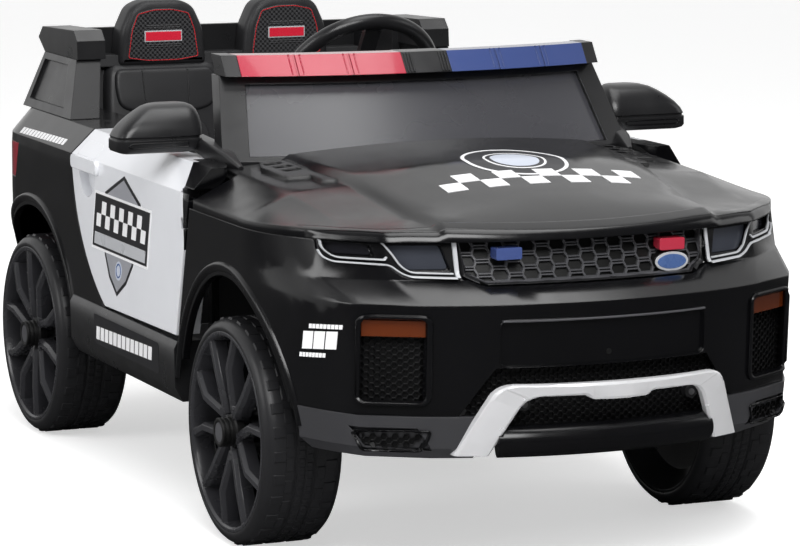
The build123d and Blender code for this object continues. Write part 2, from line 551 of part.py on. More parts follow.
with BuildPart() as steering_shaft:
    with BuildSketch(shaft_plane.offset(-4 - TOUCH)) as shaft_top:
        Circle(SHAFT_RADIUS)
    extrude(amount=-SHAFT_LENGTH + 4 + TOUCH)
    # crank at the lower end, its pin stands in the tie rod's fork
    with BuildSketch(shaft_plane.offset(-SHAFT_LENGTH)) as crank:
        with Locations((0, CRANK_LENGTH / 2)):
            Rectangle(2 * CRANK_PIN_RADIUS, CRANK_LENGTH + 2 * CRANK_PIN_RADIUS)
    extrude(amount=6)
    with BuildSketch(shaft_plane.offset(-SHAFT_LENGTH - CRANK_PIN_LENGTH)) as crank_pin:
        with Locations((0, CRANK_LENGTH)):
            Circle(CRANK_PIN_RADIUS)
    extrude(amount=CRANK_PIN_LENGTH + 2)
steering_shaft.part.label = "steering_shaft"

# ---------------------------------------------------------------- doors
HINGE_X = BODY_HALF_WIDTH - 5
HINGE_Y = DOOR_TOP_FRONT[0] + 30
HINGE_PIN_RADIUS = 2.0
HINGE_LUG_RADIUS = 4.0
HINGE_LUGS = ((314.0, 324.0), (346.0, 356.0))       # lower and upper lug, bottom z and top z
HINGE_GAP = 1.0
DOOR_NOSE_RADIUS = HINGE_X - FRAME_LEVELS[0][1] - HOOD_GAP - 2.0    # swings past the hood's rear corner

HANDLE_Y = (DOOR_WAIST_REAR[0] - 98, DOOR_WAIST_REAR[0] - 12)
HANDLE_Z = (338.0, 353.0)
HANDLE_PROUD = 3.0
CUP_CENTRE = (sum(HANDLE_Y) / 2, 335.0)
CUP_RADIUS = 27.0
CUP_DEPTH = 14.0


doors = []
for name, side in SIDES:
    with BuildPart() as door:
        add(body_volume(BODY_LEVELS[:3] + BELT_LEVELS))
        add(body_volume(BODY_LEVELS[:3] + BELT_LEVELS, DOOR_THICKNESS), mode=Mode.SUBTRACT)
        with BuildSketch(Plane.YZ) as door_side:
            add(door_outline(0))
        extrude(amount=side * FAR, mode=Mode.INTERSECT)
        # inner front corner, turned about the hinge
        with BuildSketch(Plane.XY.offset(HOOD_SEAM_Z)) as nose_relief:
            with Locations((side * (HINGE_X - FAR / 2), HINGE_Y - FAR / 2)):
                Rectangle(FAR, FAR)
            with Locations((side * HINGE_X, HINGE_Y)):
                Circle(DOOR_NOSE_RADIUS, mode=Mode.SUBTRACT)
        extrude(amount=BELT_Z - HOOD_SEAM_Z, mode=Mode.SUBTRACT)
        # pockets for the hinge lugs, open inwards and forwards
        for low, high in HINGE_LUGS:
            with BuildSketch(Plane.XY.offset(low - HINGE_GAP)) as pocket:
                with Locations((side * (HINGE_X - 15), HINGE_Y - 18)):
                    Rectangle(30 + 2 * (HINGE_LUG_RADIUS + 0.5), 36 + 2 * (HINGE_LUG_RADIUS + 1.5))
            extrude(amount=high - low + 2 * HINGE_GAP, mode=Mode.SUBTRACT)
        with BuildSketch(Plane.XY.offset(HINGE_LUGS[0][0])) as pin_bore:
            with Locations((side * HINGE_X, HINGE_Y)):
                Circle(HINGE_PIN_RADIUS + RUNNING)
        extrude(amount=HINGE_LUGS[1][1] - HINGE_LUGS[0][0], mode=Mode.SUBTRACT)
        # finger cup, and the handle that bridges it
        with BuildSketch(Plane.YZ.offset(side * (BODY_HALF_WIDTH - CUP_DEPTH))) as cup:
            with Locations(CUP_CENTRE):
                Circle(CUP_RADIUS)
        extrude(amount=side * 2 * CUP_DEPTH, mode=Mode.SUBTRACT)
        with BuildSketch(Plane.YZ.offset(side * (BODY_HALF_WIDTH - CUP_DEPTH / 2))) as handle:
            with Locations((CUP_CENTRE[0], sum(HANDLE_Z) / 2)):
                RectangleRounded(HANDLE_Y[1] - HANDLE_Y[0], HANDLE_Z[1] - HANDLE_Z[0], 6)
        extrude(amount=side * (CUP_DEPTH / 2 + HANDLE_PROUD))
    door.part.label = "door_" + name
    doors.append(door)

# lugs and pins on the door posts
with BuildPart() as door_hinges:
    for name, side in SIDES:
        for low, high in HINGE_LUGS:
            with BuildSketch(Plane.XY.offset(low)) as lug:
                with Locations((side * HINGE_X, HINGE_Y)):
                    Circle(HINGE_LUG_RADIUS)
                with Locations((side * (HINGE_X + POST_OUTER_X + TOUCH) / 2, HINGE_Y)):
                    Rectangle(HINGE_X - POST_OUTER_X - TOUCH, 2 * HINGE_LUG_RADIUS)
            extrude(amount=high - low)
        with BuildSketch(Plane.XY.offset(HINGE_LUGS[0][0])) as hinge_pin:
            with Locations((side * HINGE_X, HINGE_Y)):
                Circle(HINGE_PIN_RADIUS)
        extrude(amount=HINGE_LUGS[1][1] - HINGE_LUGS[0][0])
door_hinges.part.label = "door_hinges"

# ---------------------------------------------------------------- rear body
BAY_REAR_Y = REAR_AXLE_Y + 147
JAMB_REAR = SEAM + SKIN
REAR_LEVELS = (BODY_LEVELS[0], BODY_LEVELS[1], BODY_LEVELS[2]) + BELT_LEVELS
TAIL_LAMP_Z = (300.0, 342.0)
TAIL_LAMP_FRONT_Y = (REAR_AXLE_Y + 64, REAR_AXLE_Y + 50)      # lower and upper front corner
TAIL_LAMP_INNER_X = BODY_HALF_WIDTH - 96
TAIL_LAMP_SIDE = ((TAIL_LAMP_FRONT_Y[0], TAIL_LAMP_Z[0]), (TAIL_LAMP_FRONT_Y[1], TAIL_LAMP_Z[1]),
                  (LENGTH, TAIL_LAMP_Z[1]), (LENGTH, TAIL_LAMP_Z[0]))

with BuildPart() as rear_hollow:            # space over the wheels and behind the seat, open below
    add(body_volume(REAR_LEVELS, SKIN))
    with BuildSketch(Plane.YZ) as hollow_side:
        with Locations(((DOOR_BOTTOM_REAR[0] + LENGTH) / 2 + SKIN, 150)):
            Rectangle(LENGTH - DOOR_BOTTOM_REAR[0], 2 * (BELT_Z - SKIN - 150))
        add(door_outline(JAMB_REAR), mode=Mode.SUBTRACT)
        with Locations(((DOOR_BOTTOM_REAR[0] + RISER_Y) / 2, SILL_TOP_Z / 2)):
            Rectangle(RISER_Y - DOOR_BOTTOM_REAR[0] + 2 * SKIN, SILL_TOP_Z + 2 * SKIN, mode=Mode.SUBTRACT)
    extrude(amount=FAR, both=True, mode=Mode.INTERSECT)
    with BuildSketch(Plane.XY) as bay_walls:
        with Locations((0, BAY_REAR_Y + SKIN - LENGTH / 2)):
            Rectangle(2 * (SEAT_BAY_HALF + SKIN), LENGTH)
    extrude(amount=600, mode=Mode.SUBTRACT)

with BuildPart() as rear_body:
    add(body_volume(REAR_LEVELS))
    with BuildSketch(Plane.YZ) as behind_doors:
        with Locations(((DOOR_BOTTOM_REAR[0] + LENGTH) / 2, 300)):
            Rectangle(LENGTH - DOOR_BOTTOM_REAR[0], 600)
        with Locations(((DOOR_BOTTOM_REAR[0] + RISER_Y) / 2, SILL_TOP_Z / 2)):
            Rectangle(RISER_Y - DOOR_BOTTOM_REAR[0] + 2, SILL_TOP_Z + 2 * TOUCH, mode=Mode.SUBTRACT)
        add(door_outline(SEAM), mode=Mode.SUBTRACT)
    extrude(amount=FAR, both=True, mode=Mode.INTERSECT)
    add(rear_hollow.part, mode=Mode.SUBTRACT)
    with BuildSketch(Plane.XY) as seat_bay:
        with Locations((0, BAY_REAR_Y - LENGTH / 2)):
            Rectangle(2 * SEAT_BAY_HALF, LENGTH)
    extrude(amount=600, mode=Mode.SUBTRACT)
    # rear wheel arches, in the outer skins only
    for name, side in SIDES:
        with BuildSketch(Plane.YZ.offset(side * (SEAT_BAY_HALF + SKIN))) as rear_arch:
            add(arch_outline(REAR_AXLE_Y, REAR_ARCH_HALF_LENGTH, REAR_ARCH_HEIGHT))
        extrude(amount=side * FAR, mode=Mode.SUBTRACT)
    with BuildSketch(Plane.YZ) as rear_axle_bore:
        with Locations((REAR_AXLE_Y, AXLE_Z)):
            Rectangle(60, 140)
    extrude(amount=FAR, both=True, mode=Mode.SUBTRACT)
    # tail lamp openings round the corners
    with BuildSketch(Plane.YZ) as tail_openings:
        with BuildLine():
            Polyline(*TAIL_LAMP_SIDE, close=True)
        make_face()
    for name, side in SIDES:
        extrude(to_extrude=tail_openings.sketch.moved(Location((side * TAIL_LAMP_INNER_X, 0, 0))),
                amount=FAR, dir=(side, 0, 0), mode=Mode.SUBTRACT)
rear_body.part.label = "rear_body"


# ---------------------------------------------------------------- rear pillars and spoiler
# inner x, outer x, front y, rear y
PILLAR_BASE = (BODY_HALF_WIDTH - 66, BODY_HALF_WIDTH - 30, REAR_AXLE_Y - 69, REAR_AXLE_Y + 112)
PILLAR_TOP = (BODY_HALF_WIDTH - 82, BODY_HALF_WIDTH - 52, REAR_AXLE_Y - 28, REAR_AXLE_Y + 92)
# recessed panel in a pillar's outer face: y from the rear axle, z
PILLAR_PANEL = ((-34, BELT_Z + 10), (-4, BELT_Z + 58), (84, BELT_Z + 58), (96, BELT_Z + 10))
PILLAR_PANEL_DEPTH = 4.0
PILLAR_TOP_Z = 446.0
SPOILER_TOP_Z = 480.0
SPOILER_INNER_X = BODY_HALF_WIDTH - 87
SPOILER_BAR_DEPTH = 9.0
PANEL_FRONT_Y = REAR_AXLE_Y + 45
PANEL_CORNER_X = SEAT_BAY_HALF + SPOILER_BAR_DEPTH
PANEL_REAR_Y = REAR_AXLE_Y + 153
PANEL_OUTER = ((SPOILER_INNER_X + 2, PANEL_FRONT_Y), (PANEL_CORNER_X, PANEL_REAR_Y))
PANEL_INNER = ((SPOILER_INNER_X - 8, PANEL_FRONT_Y), (SEAT_BAY_HALF, PANEL_REAR_Y - SPOILER_BAR_DEPTH))


def rectangle_at(z, low_x, high_x, low_y, high_y):
    """Rectangle between two corners on the plane at height z."""
    with BuildSketch(Plane.XY.offset(z)) as rectangle:
        with Locations(((low_x + high_x) / 2, (low_y + high_y) / 2)):
            Rectangle(high_x - low_x, high_y - low_y)
    return rectangle.sketch


def pillar_block(side):
    """One tapering pillar."""
    base_x = sorted(side * x for x in PILLAR_BASE[:2])
    top_x = sorted(side * x for x in PILLAR_TOP[:2])
    with BuildPart() as block:
        loft(sections=[rectangle_at(BELT_Z + TOUCH, *base_x, *PILLAR_BASE[2:]),
                       rectangle_at(PILLAR_TOP_Z, *top_x, *PILLAR_TOP[2:])], ruled=True)
    return block.part


with BuildSketch(Plane.YZ) as pillar_panel:
    with BuildLine():
        Polyline(*((REAR_AXLE_Y + y, z) for y, z in PILLAR_PANEL), close=True)
    make_face()

with BuildPart() as panel_cuts:
    extrude(to_extrude=pillar_panel.sketch, amount=FAR, both=True)
    with BuildSketch(Plane.XZ.offset(-FAR - REAR_AXLE_Y)) as between_panels:
        with BuildLine():
            Polyline((PILLAR_BASE[1] - PILLAR_PANEL_DEPTH, BELT_Z + TOUCH),
                     (PILLAR_TOP[1] - PILLAR_PANEL_DEPTH, PILLAR_TOP_Z),
                     (-PILLAR_TOP[1] + PILLAR_PANEL_DEPTH, PILLAR_TOP_Z),
                     (-PILLAR_BASE[1] + PILLAR_PANEL_DEPTH, BELT_Z + TOUCH), close=True)
        make_face()
    extrude(amount=2 * FAR, mode=Mode.SUBTRACT)

with BuildPart() as rear_pillars:
    for name, side in SIDES:
        add(pillar_block(side))
    add(panel_cuts.part, mode=Mode.SUBTRACT)
rear_pillars.part.label = "rear_pillars"

with BuildSketch(Plane.YZ) as cap_side:
    with BuildLine():
        Polyline((PILLAR_TOP[2] - 4, PILLAR_TOP_Z + TOUCH), (PILLAR_TOP[2] - 2, SPOILER_TOP_Z - 12),
                 (PILLAR_TOP[2] + 10, SPOILER_TOP_Z), (REAR_AXLE_Y + 100, SPOILER_TOP_Z - 4),
                 (REAR_AXLE_Y + 116, SPOILER_TOP_Z - 18), (PILLAR_TOP[3], PILLAR_TOP_Z + TOUCH), close=True)
    make_face()

with BuildPart() as spoiler:
    for name, side in SIDES:
        extrude(to_extrude=cap_side.sketch.moved(Location((side * SPOILER_INNER_X, 0, 0))),
                amount=PILLAR_TOP[1] - SPOILER_INNER_X, dir=(side, 0, 0))
    # panel behind the headrests
    with BuildSketch(Plane.XY.offset(BELT_Z + TOUCH)) as panel_plan:
        with BuildLine():
            Polyline(*PANEL_OUTER, *((-x, y) for x, y in reversed(PANEL_OUTER)),
                     *((-x, y) for x, y in PANEL_INNER), *reversed(PANEL_INNER), close=True)
        make_face()
    extrude(amount=SPOILER_TOP_Z - 12 - BELT_Z - TOUCH)
spoiler.part.label = "spoiler"

# ---------------------------------------------------------------- seat
SEAT_HALF = SEAT_BAY_HALF - 3
SEAT_FRONT_Y = RISER_Y + 28
SEAT_TOP_Z = SHELF_TOP_Z + 24
SEAT_OUTLINE = (
    (SEAT_FRONT_Y, SHELF_TOP_Z + TOUCH), (SEAT_FRONT_Y, SEAT_TOP_Z), (REAR_AXLE_Y + 72, SEAT_TOP_Z - 4),
    (REAR_AXLE_Y + 118, 436.0), (REAR_AXLE_Y + 142, 436.0), (REAR_AXLE_Y + 146, SHELF_TOP_Z + TOUCH),
)
BUCKET_X = SEAT_HALF / 2
BUCKET_HALF = BUCKET_X - 16
HEADREST_X = BUCKET_X - 17
HEADREST_HALF_BASE = 57.0
HEADREST_HALF_TOP = 40.0
HEADREST_TOP_Z = 502.0
HEADREST_Y = (REAR_AXLE_Y + 117, REAR_AXLE_Y + 142)

with BuildPart() as seat:
    with BuildSketch(Plane.YZ.offset(-SEAT_HALF)) as seat_side:
        with BuildLine():
            Polyline(*SEAT_OUTLINE, close=True)
        make_face()
    extrude(amount=2 * SEAT_HALF)
    # two buckets, sunk into cushion and backrest
    for name, side in SIDES:
        with BuildSketch(Plane.YZ.offset(side * BUCKET_X - BUCKET_HALF)) as bucket:
            with BuildLine():
                Polyline((SEAT_FRONT_Y + 24, SEAT_TOP_Z + 20), (SEAT_FRONT_Y + 24, SEAT_TOP_Z - 10),
                         (REAR_AXLE_Y + 84, SEAT_TOP_Z - 12), (REAR_AXLE_Y + 125, 422.0),
                         (REAR_AXLE_Y + 40, 422.0), close=True)
            make_face()
        extrude(amount=2 * BUCKET_HALF, mode=Mode.SUBTRACT)
seat.part.label = "seat"

with BuildPart() as headrests:
    for name, side in SIDES:
        with BuildSketch(Plane.XZ.offset(-HEADREST_Y[0])) as headrest_face:
            with BuildLine():
                Polyline((side * HEADREST_X - HEADREST_HALF_BASE, 436 + TOUCH),
                         (side * HEADREST_X - HEADREST_HALF_TOP, HEADREST_TOP_Z),
                         (side * HEADREST_X + HEADREST_HALF_TOP, HEADREST_TOP_Z),
                         (side * HEADREST_X + HEADREST_HALF_BASE, 436 + TOUCH), close=True)
            make_face()
            fillet(headrest_face.vertices().group_by(Axis.Y)[-1], radius=16)
        extrude(amount=-(HEADREST_Y[1] - HEADREST_Y[0]))
headrests.part.label = "headrests"

# ---------------------------------------------------------------- nose pieces
LIP_BOTTOM_Z = 128.0
LIP_MIDDLE_HALF = INTAKE_HALF_BOTTOM - 18
LIP_REAR_Y = FRONT_AXLE_Y - 150
LIP_LEVELS = (
    (LIP_BOTTOM_Z, -16, -44, 66, -212, 120, -247, -282, 60, 22, 106, 160, 170),
    (140.0, -4, -44, 56, -222, 112, -257, -296, 60, 10, 98, 168, 180),
    (PANEL_BOTTOM_Z - TOUCH, -2, -44, 54, -224, 110, -259, -300, 60, 6, 94, 170, 185),
)
# blind vent in each end of the lip, in front view: x inwards from the half width, z
LIP_VENT = ((118, 137), (104, 160), (48, 160), (60, 141))
LIP_VENT_DEPTH = 5.0

# bright trim over the lower intake: z | half width | y of the ends from the front axle | bow
TRIM_TOP_Z = 206.0
TRIM_END = 284.0
TRIM_HALF = INTAKE_HALF_BOTTOM + 10
TRIM_LEVELS = ((130.0, TRIM_HALF, -268, 36), (TRIM_TOP_Z, TRIM_HALF, -TRIM_END, FRONT_OVERHANG - TRIM_END))
TRIM_FOOT_Z = 133.0
TRIM_OUTER = ((INTAKE_HALF_BOTTOM + 6, TRIM_FOOT_Z), (INTAKE_HALF_TOP + 6, TRIM_TOP_Z))
TRIM_INNER = ((INTAKE_HALF_BOTTOM - 26, TRIM_FOOT_Z), (INTAKE_HALF_TOP - 22, TRIM_TOP_Z - 13))
TRIM_DEPTH = 14.0

with BuildPart() as bright_trim:
    add(bowed_band(TRIM_LEVELS, TRIM_DEPTH))
    with BuildSketch(Plane.XZ) as trim_front:
        with BuildLine():
            Polyline(TRIM_OUTER[0], TRIM_OUTER[1], (-TRIM_OUTER[1][0], TRIM_OUTER[1][1]),
                     (-TRIM_OUTER[0][0], TRIM_OUTER[0][1]), (-TRIM_INNER[0][0], TRIM_INNER[0][1]),
                     (-TRIM_INNER[1][0], TRIM_INNER[1][1]), TRIM_INNER[1], TRIM_INNER[0], close=True)
        make_face()
    extrude(amount=LENGTH, mode=Mode.INTERSECT)
bright_trim.part.label = "bright_trim"

TUBE_RADIUS = 16.0
TUBE_HALF = INTAKE_HALF_BOTTOM - 36
TUBE_Z = 146.0
TUBE_BOW = 16.0
TUBE_FRONT_Y = FRONT_AXLE_Y - FRONT_OVERHANG + 17 + TUBE_RADIUS

with BuildPart() as tube_bar:
    with BuildLine() as tube_path:
        ThreePointArc((-TUBE_HALF, TUBE_FRONT_Y + TUBE_BOW, TUBE_Z), (0, TUBE_FRONT_Y, TUBE_Z),
                      (TUBE_HALF, TUBE_FRONT_Y + TUBE_BOW, TUBE_Z))
    with BuildSketch(Plane(origin=tube_path.line @ 0, z_dir=tube_path.line % 0)) as tube_section:
        Circle(TUBE_RADIUS)
    sweep()
    add(bright_trim.part, mode=Mode.SUBTRACT)
tube_bar.part.label = "tube_bar"

with BuildPart() as front_lip:
    add(body_volume(LIP_LEVELS))
    add(body_volume(LIP_LEVELS, SKIN), mode=Mode.SUBTRACT)
    with BuildSketch(Plane.XY.offset(LIP_BOTTOM_Z)) as lip_plan:
        for name, side in SIDES:
            with Locations((side * (LIP_MIDDLE_HALF + FAR) / 2, LIP_REAR_Y - FAR / 2)):
                Rectangle(FAR - LIP_MIDDLE_HALF, FAR)
    extrude(amount=100, mode=Mode.INTERSECT)
    add(bright_trim.part, mode=Mode.SUBTRACT)
    for name, side in SIDES:
        with BuildSketch(Plane.XZ.offset(-NOSE_BACK_Y), mode=Mode.PRIVATE) as vent_front:
            with BuildLine():
                Polyline(*((side * (BODY_HALF_WIDTH - x), z) for x, z in LIP_VENT), close=True)
            make_face()
        add(body_skin(LIP_LEVELS, 0, LIP_VENT_DEPTH, vent_front.sketch), mode=Mode.SUBTRACT)
front_lip.part.label = "front_lip"

MESH_LAP = 6.0                  # intake mesh behind the edge of its opening
with BuildPart() as intake_mesh:
    with BuildSketch(Plane.XZ) as intake_front:
        with BuildLine():
            Polyline((-INTAKE_HALF_BOTTOM - MESH_LAP, PANEL_BOTTOM_Z + 1),
                     (-INTAKE_HALF_TOP - MESH_LAP, INTAKE_TOP_Z + MESH_LAP),
                     (INTAKE_HALF_TOP + MESH_LAP, INTAKE_TOP_Z + MESH_LAP),
                     (INTAKE_HALF_BOTTOM + MESH_LAP, PANEL_BOTTOM_Z + 1), close=True)
        make_face()
    add(body_skin(BODY_LEVELS, SKIN + TOUCH, SKIN + 6, intake_front.sketch))
intake_mesh.part.label = "intake_mesh"

HEX_PITCH = (31.5, 13.3)        # along a row, and between a column's hexagons
HEX_FLAT = 13.7                 # width of a hexagon's flat top
HEX_HALF_WIDTH = 11.0
HEX_HALF_HEIGHT = 4.8
HEX_TOP_Z = HOOD_SEAM_Z - 3       # centres of the top row
HEX_ROWS = 6
HEX_COLUMNS = 9
GRILLE_INSET = (6.0, 14.0)      # front and back face, in from the nose's surface
HEX_FLOOR = 2.0                 # wall left behind each hexagon
GRILLE_BORDER = 3.0


def grille_outline(inset):
    """Front view of the grille, moved in by inset."""
    with BuildSketch(Plane.XZ) as outline:
        with BuildLine():
            Polyline((0, HOOD_SEAM_Z - TOUCH), (GRILLE_HALF_TOP, HOOD_SEAM_Z - TOUCH),
                     (GRILLE_HALF_TOP - 4, GRILLE_CORNER_Z),
                     (GRILLE_HALF_BOTTOM - 2, GRILLE_BOTTOM_Z + TOUCH),
                     (0, GRILLE_BOTTOM_Z + TOUCH))
            mirror(about=Plane.YZ)
        make_face()
        if inset:
            offset(amount=-inset, kind=Kind.INTERSECTION, mode=Mode.REPLACE)
    return outline.sketch


with BuildSketch() as hexagon:
    with BuildLine():
        Polyline((0, HEX_HALF_HEIGHT), (HEX_FLAT / 2, HEX_HALF_HEIGHT), (HEX_HALF_WIDTH, 0),
                 (HEX_FLAT / 2, -HEX_HALF_HEIGHT), (0, -HEX_HALF_HEIGHT))
        mirror(about=Plane.YZ)
    make_face()

# every second row is half a pitch over and half a pitch down
hexagon_places = []
for row in range(HEX_ROWS):
    for column in range(HEX_COLUMNS):
        along = (column - (HEX_COLUMNS - 1) / 2 + (row % 2) / 2) * HEX_PITCH[0]
        hexagon_places.append((along, HEX_TOP_Z - row * HEX_PITCH[1] / 2))

with BuildSketch(Plane.XZ) as hexagons:
    with Locations(*hexagon_places):
        add(hexagon.sketch)
    add(grille_outline(GRILLE_BORDER), mode=Mode.INTERSECT)

with BuildPart() as grille:
    add(body_skin(BODY_LEVELS, *GRILLE_INSET, grille_outline(0)))
    add(body_skin(BODY_LEVELS, 0, GRILLE_INSET[1] - HEX_FLOOR, hexagons.sketch), mode=Mode.SUBTRACT)
grille.part.label = "grille"

LAMP_INSET = (2.0, 18.0)        # front and back face, in from the nose's surface
LAMP_CELL_DEPTH = 5.0
# openings of the outer and inner cell in front view: x inwards from the half width, z
LAMP_CELLS = (
    ((43, 335), (78, 335), (81, 324), (50, 324), (43, 330)),
    ((91, 335), (140, 335), (147, 311), (107, 311), (97, 322)),
)

with BuildPart() as headlamps:
    for name, side in SIDES:
        with BuildSketch(Plane.XZ, mode=Mode.PRIVATE) as lamp_front:
            with BuildLine():
                Polyline(*lamp_edge(side, TOUCH), (side * (GRILLE_HALF_TOP + TOUCH), HOOD_SEAM_Z - TOUCH),
                         close=True)
            make_face()
        add(body_skin(BODY_LEVELS, *LAMP_INSET, lamp_front.sketch))
        for cell in LAMP_CELLS:
            with BuildSketch(Plane.XZ, mode=Mode.PRIVATE) as cell_front:
                with BuildLine():
                    Polyline(*((side * (BODY_HALF_WIDTH - x), z) for x, z in cell), close=True)
                make_face()
            recess = body_skin(BODY_LEVELS, 0, LAMP_INSET[0] + LAMP_CELL_DEPTH, cell_front.sketch)
            add(recess, mode=Mode.SUBTRACT)
headlamps.part.label = "headlamps"

LAMP_BOX = (28.0, 12.0)             # width, height
LAMP_BOX_X = GRILLE_HALF_TOP - 47
LAMP_BOX_Z = 327.0
LAMP_BOX_FRONT_Y = FRONT_AXLE_Y - 253
grille_lamps = []
for name, side in (("blue", -1), ("red", 1)):
    with BuildPart() as grille_lamp:
        with BuildSketch(Plane.XZ.offset(-LAMP_BOX_FRONT_Y)) as lamp_face:
            with Locations((side * LAMP_BOX_X, LAMP_BOX_Z)):
                RectangleRounded(*LAMP_BOX, 2)
        extrude(amount=-14)
        add(grille.part, mode=Mode.SUBTRACT)
    grille_lamp.part.label = "grille_lamp_" + name
    grille_lamps.append(grille_lamp)

with BuildPart() as fog_lamps:
    for name, side in SIDES:
        with BuildSketch(Plane.XZ) as fog_front:
            with Locations((side * sum(FOG_X) / 2, FOG_Z[1] - 10)):
                Rectangle(FOG_X[1] - FOG_X[0] - 2 * TOUCH, 16)
        add(body_skin(BODY_LEVELS, 3, 14, fog_front.sketch))
fog_lamps.part.label = "fog_lamps"

with BuildPart() as fog_meshes:
    for name, side in SIDES:
        with BuildSketch(Plane.XZ) as fog_mesh_front:
            with Locations((side * sum(FOG_X) / 2, (FOG_Z[0] + FOG_Z[1] - 18) / 2)):
                Rectangle(FOG_X[1] - FOG_X[0] - 2 * TOUCH, FOG_Z[1] - FOG_Z[0] - 18 - 4 * TOUCH)
        add(body_skin(BODY_LEVELS, 10, 14, fog_mesh_front.sketch))
fog_meshes.part.label = "fog_meshes"


# ---------------------------------------------------------------- mirrors
MIRROR_INNER_X = BODY_HALF_WIDTH - 50
MIRROR_OUTER_X = BODY_HALF_WIDTH + 48
STALK_X = (BODY_HALF_WIDTH - 66, BODY_HALF_WIDTH - 59, BODY_HALF_WIDTH - 42)      # inner, foot, outer
MIRROR_Z = (BELT_Z + 6, BELT_Z + 57)
MIRROR_Y = (FRONT_AXLE_Y + 186, FRONT_AXLE_Y + 232)
MIRROR_FACE = (
    (MIRROR_INNER_X, MIRROR_Z[0] + 8), (MIRROR_INNER_X + 2, MIRROR_Z[1]),
    (MIRROR_OUTER_X - 44, MIRROR_Z[1]), (MIRROR_OUTER_X - 16, MIRROR_Z[1] - 16),
    (MIRROR_OUTER_X, MIRROR_Z[1] - 36), (MIRROR_OUTER_X, MIRROR_Z[0] + 4),
    (MIRROR_INNER_X + 10, MIRROR_Z[0]),
)

mirrors = []
for name, side in SIDES:
    with BuildPart() as mirror_part:
        with BuildSketch(Plane.XZ.offset(-MIRROR_Y[1])) as mirror_face:
            with BuildLine():
                Polyline(*((side * x, z) for x, z in MIRROR_FACE), close=True)
            make_face()
        extrude(amount=MIRROR_Y[1] - MIRROR_Y[0])
        fillet(mirror_part.faces().sort_by(Axis.Y)[0].edges(), radius=5)
        # stalk that stands on the corner of the hood
        with BuildSketch(Plane.XZ.offset(-(MIRROR_Y[0] + 30))) as stalk:
            with BuildLine():
                Polyline((side * STALK_X[0], DASH_TOP_Z + 1), (side * STALK_X[0], BELT_Z + 8),
                         (side * STALK_X[2], BELT_Z + 22), (side * STALK_X[2], BELT_Z + 6),
                         (side * STALK_X[1], BELT_Z + 3), (side * STALK_X[1], DASH_TOP_Z + 1), close=True)
            make_face()
        extrude(amount=MIRROR_Y[0] + 30 - (FRONT_AXLE_Y + 112))
        add(hood.part, mode=Mode.SUBTRACT)
        add(hood_volume(0, 0), mode=Mode.SUBTRACT)
        add(windscreen_frame.part, mode=Mode.SUBTRACT)
    mirror_part.part.label = "mirror_" + name
    mirrors.append(mirror_part)

# ---------------------------------------------------------------- tail pieces

with BuildPart() as tail_lamps:
    add(body_volume(REAR_LEVELS))
    add(body_volume(REAR_LEVELS, SKIN + 4), mode=Mode.SUBTRACT)
    with BuildSketch(Plane.YZ) as lamp_side:
        with BuildLine():
            Polyline(*TAIL_LAMP_SIDE, close=True)
        make_face()
        offset(amount=-TOUCH, kind=Kind.INTERSECTION, mode=Mode.REPLACE)
    extrude(amount=FAR, both=True, mode=Mode.INTERSECT)
    with BuildSketch(Plane.XY) as lamp_plan:
        Rectangle(2 * (TAIL_LAMP_INNER_X + TOUCH), 3 * LENGTH)
    extrude(amount=600, mode=Mode.SUBTRACT)
tail_lamps.part.label = "tail_lamps"

VALANCE_FRONT_Y = REAR_AXLE_Y + 122
VALANCE_LEVELS = (
    (132.0, -20, -44, 54, -220, 112, -255, -294, 60, 20, 108, 158, 168),
    (148.0, -6, -44, 54, -220, 112, -255, -294, 60, 8, 94, 168, 186),
    (PANEL_BOTTOM_Z - TOUCH, -4, -44, 54, -220, 112, -255, -294, 60, 4, 91, 170, 189),
)

with BuildPart() as rear_valance:
    add(body_volume(VALANCE_LEVELS))
    add(body_volume(VALANCE_LEVELS, SKIN), mode=Mode.SUBTRACT)
    with BuildSketch(Plane.XY) as valance_plan:
        with Locations((0, VALANCE_FRONT_Y + FAR / 2)):
            Rectangle(2 * FAR, FAR)
    extrude(amount=FAR, mode=Mode.INTERSECT)
rear_valance.part.label = "rear_valance"

# ---------------------------------------------------------------- running gear
KINGPIN_X = WHEEL_INNER_X - 21
KINGPIN_RADIUS = 6.0
EYE_RADIUS = 13.0
STUB_END_X = WHEEL_FACE_X - 12

with BuildPart() as front_axle:
    with BuildSketch(Plane.YZ.offset(-KINGPIN_X)) as beam_tube:
        with Locations((FRONT_AXLE_Y, AXLE_Z)):
            Circle(9)
    extrude(amount=2 * KINGPIN_X)
    with BuildSketch(Plane.XY.offset(AXLE_Z)) as saddle:
        with Locations((0, FRONT_AXLE_Y)):
            Rectangle(2 * BEAM_HALF_WIDTH, 36)
    extrude(amount=BEAM_BOTTOM_Z - TOUCH - AXLE_Z)
    with BuildSketch(Plane.XY.offset(AXLE_Z - EYE_HALF_HEIGHT)) as eyes:
        for name, side in SIDES:
            with Locations((side * KINGPIN_X, FRONT_AXLE_Y)):
                Circle(EYE_RADIUS)
    extrude(amount=2 * EYE_HALF_HEIGHT)
    with BuildSketch(Plane.XY) as kingpin_bores:
        for name, side in SIDES:
            with Locations((side * KINGPIN_X, FRONT_AXLE_Y)):
                Circle(KINGPIN_RADIUS + RUNNING)
    extrude(amount=FAR, mode=Mode.SUBTRACT)
front_axle.part.label = "front_axle"

ARM_PIN_RADIUS = 4.0
ROD_RADIUS = 4.0
ROD_EYE_RADIUS = 8.0

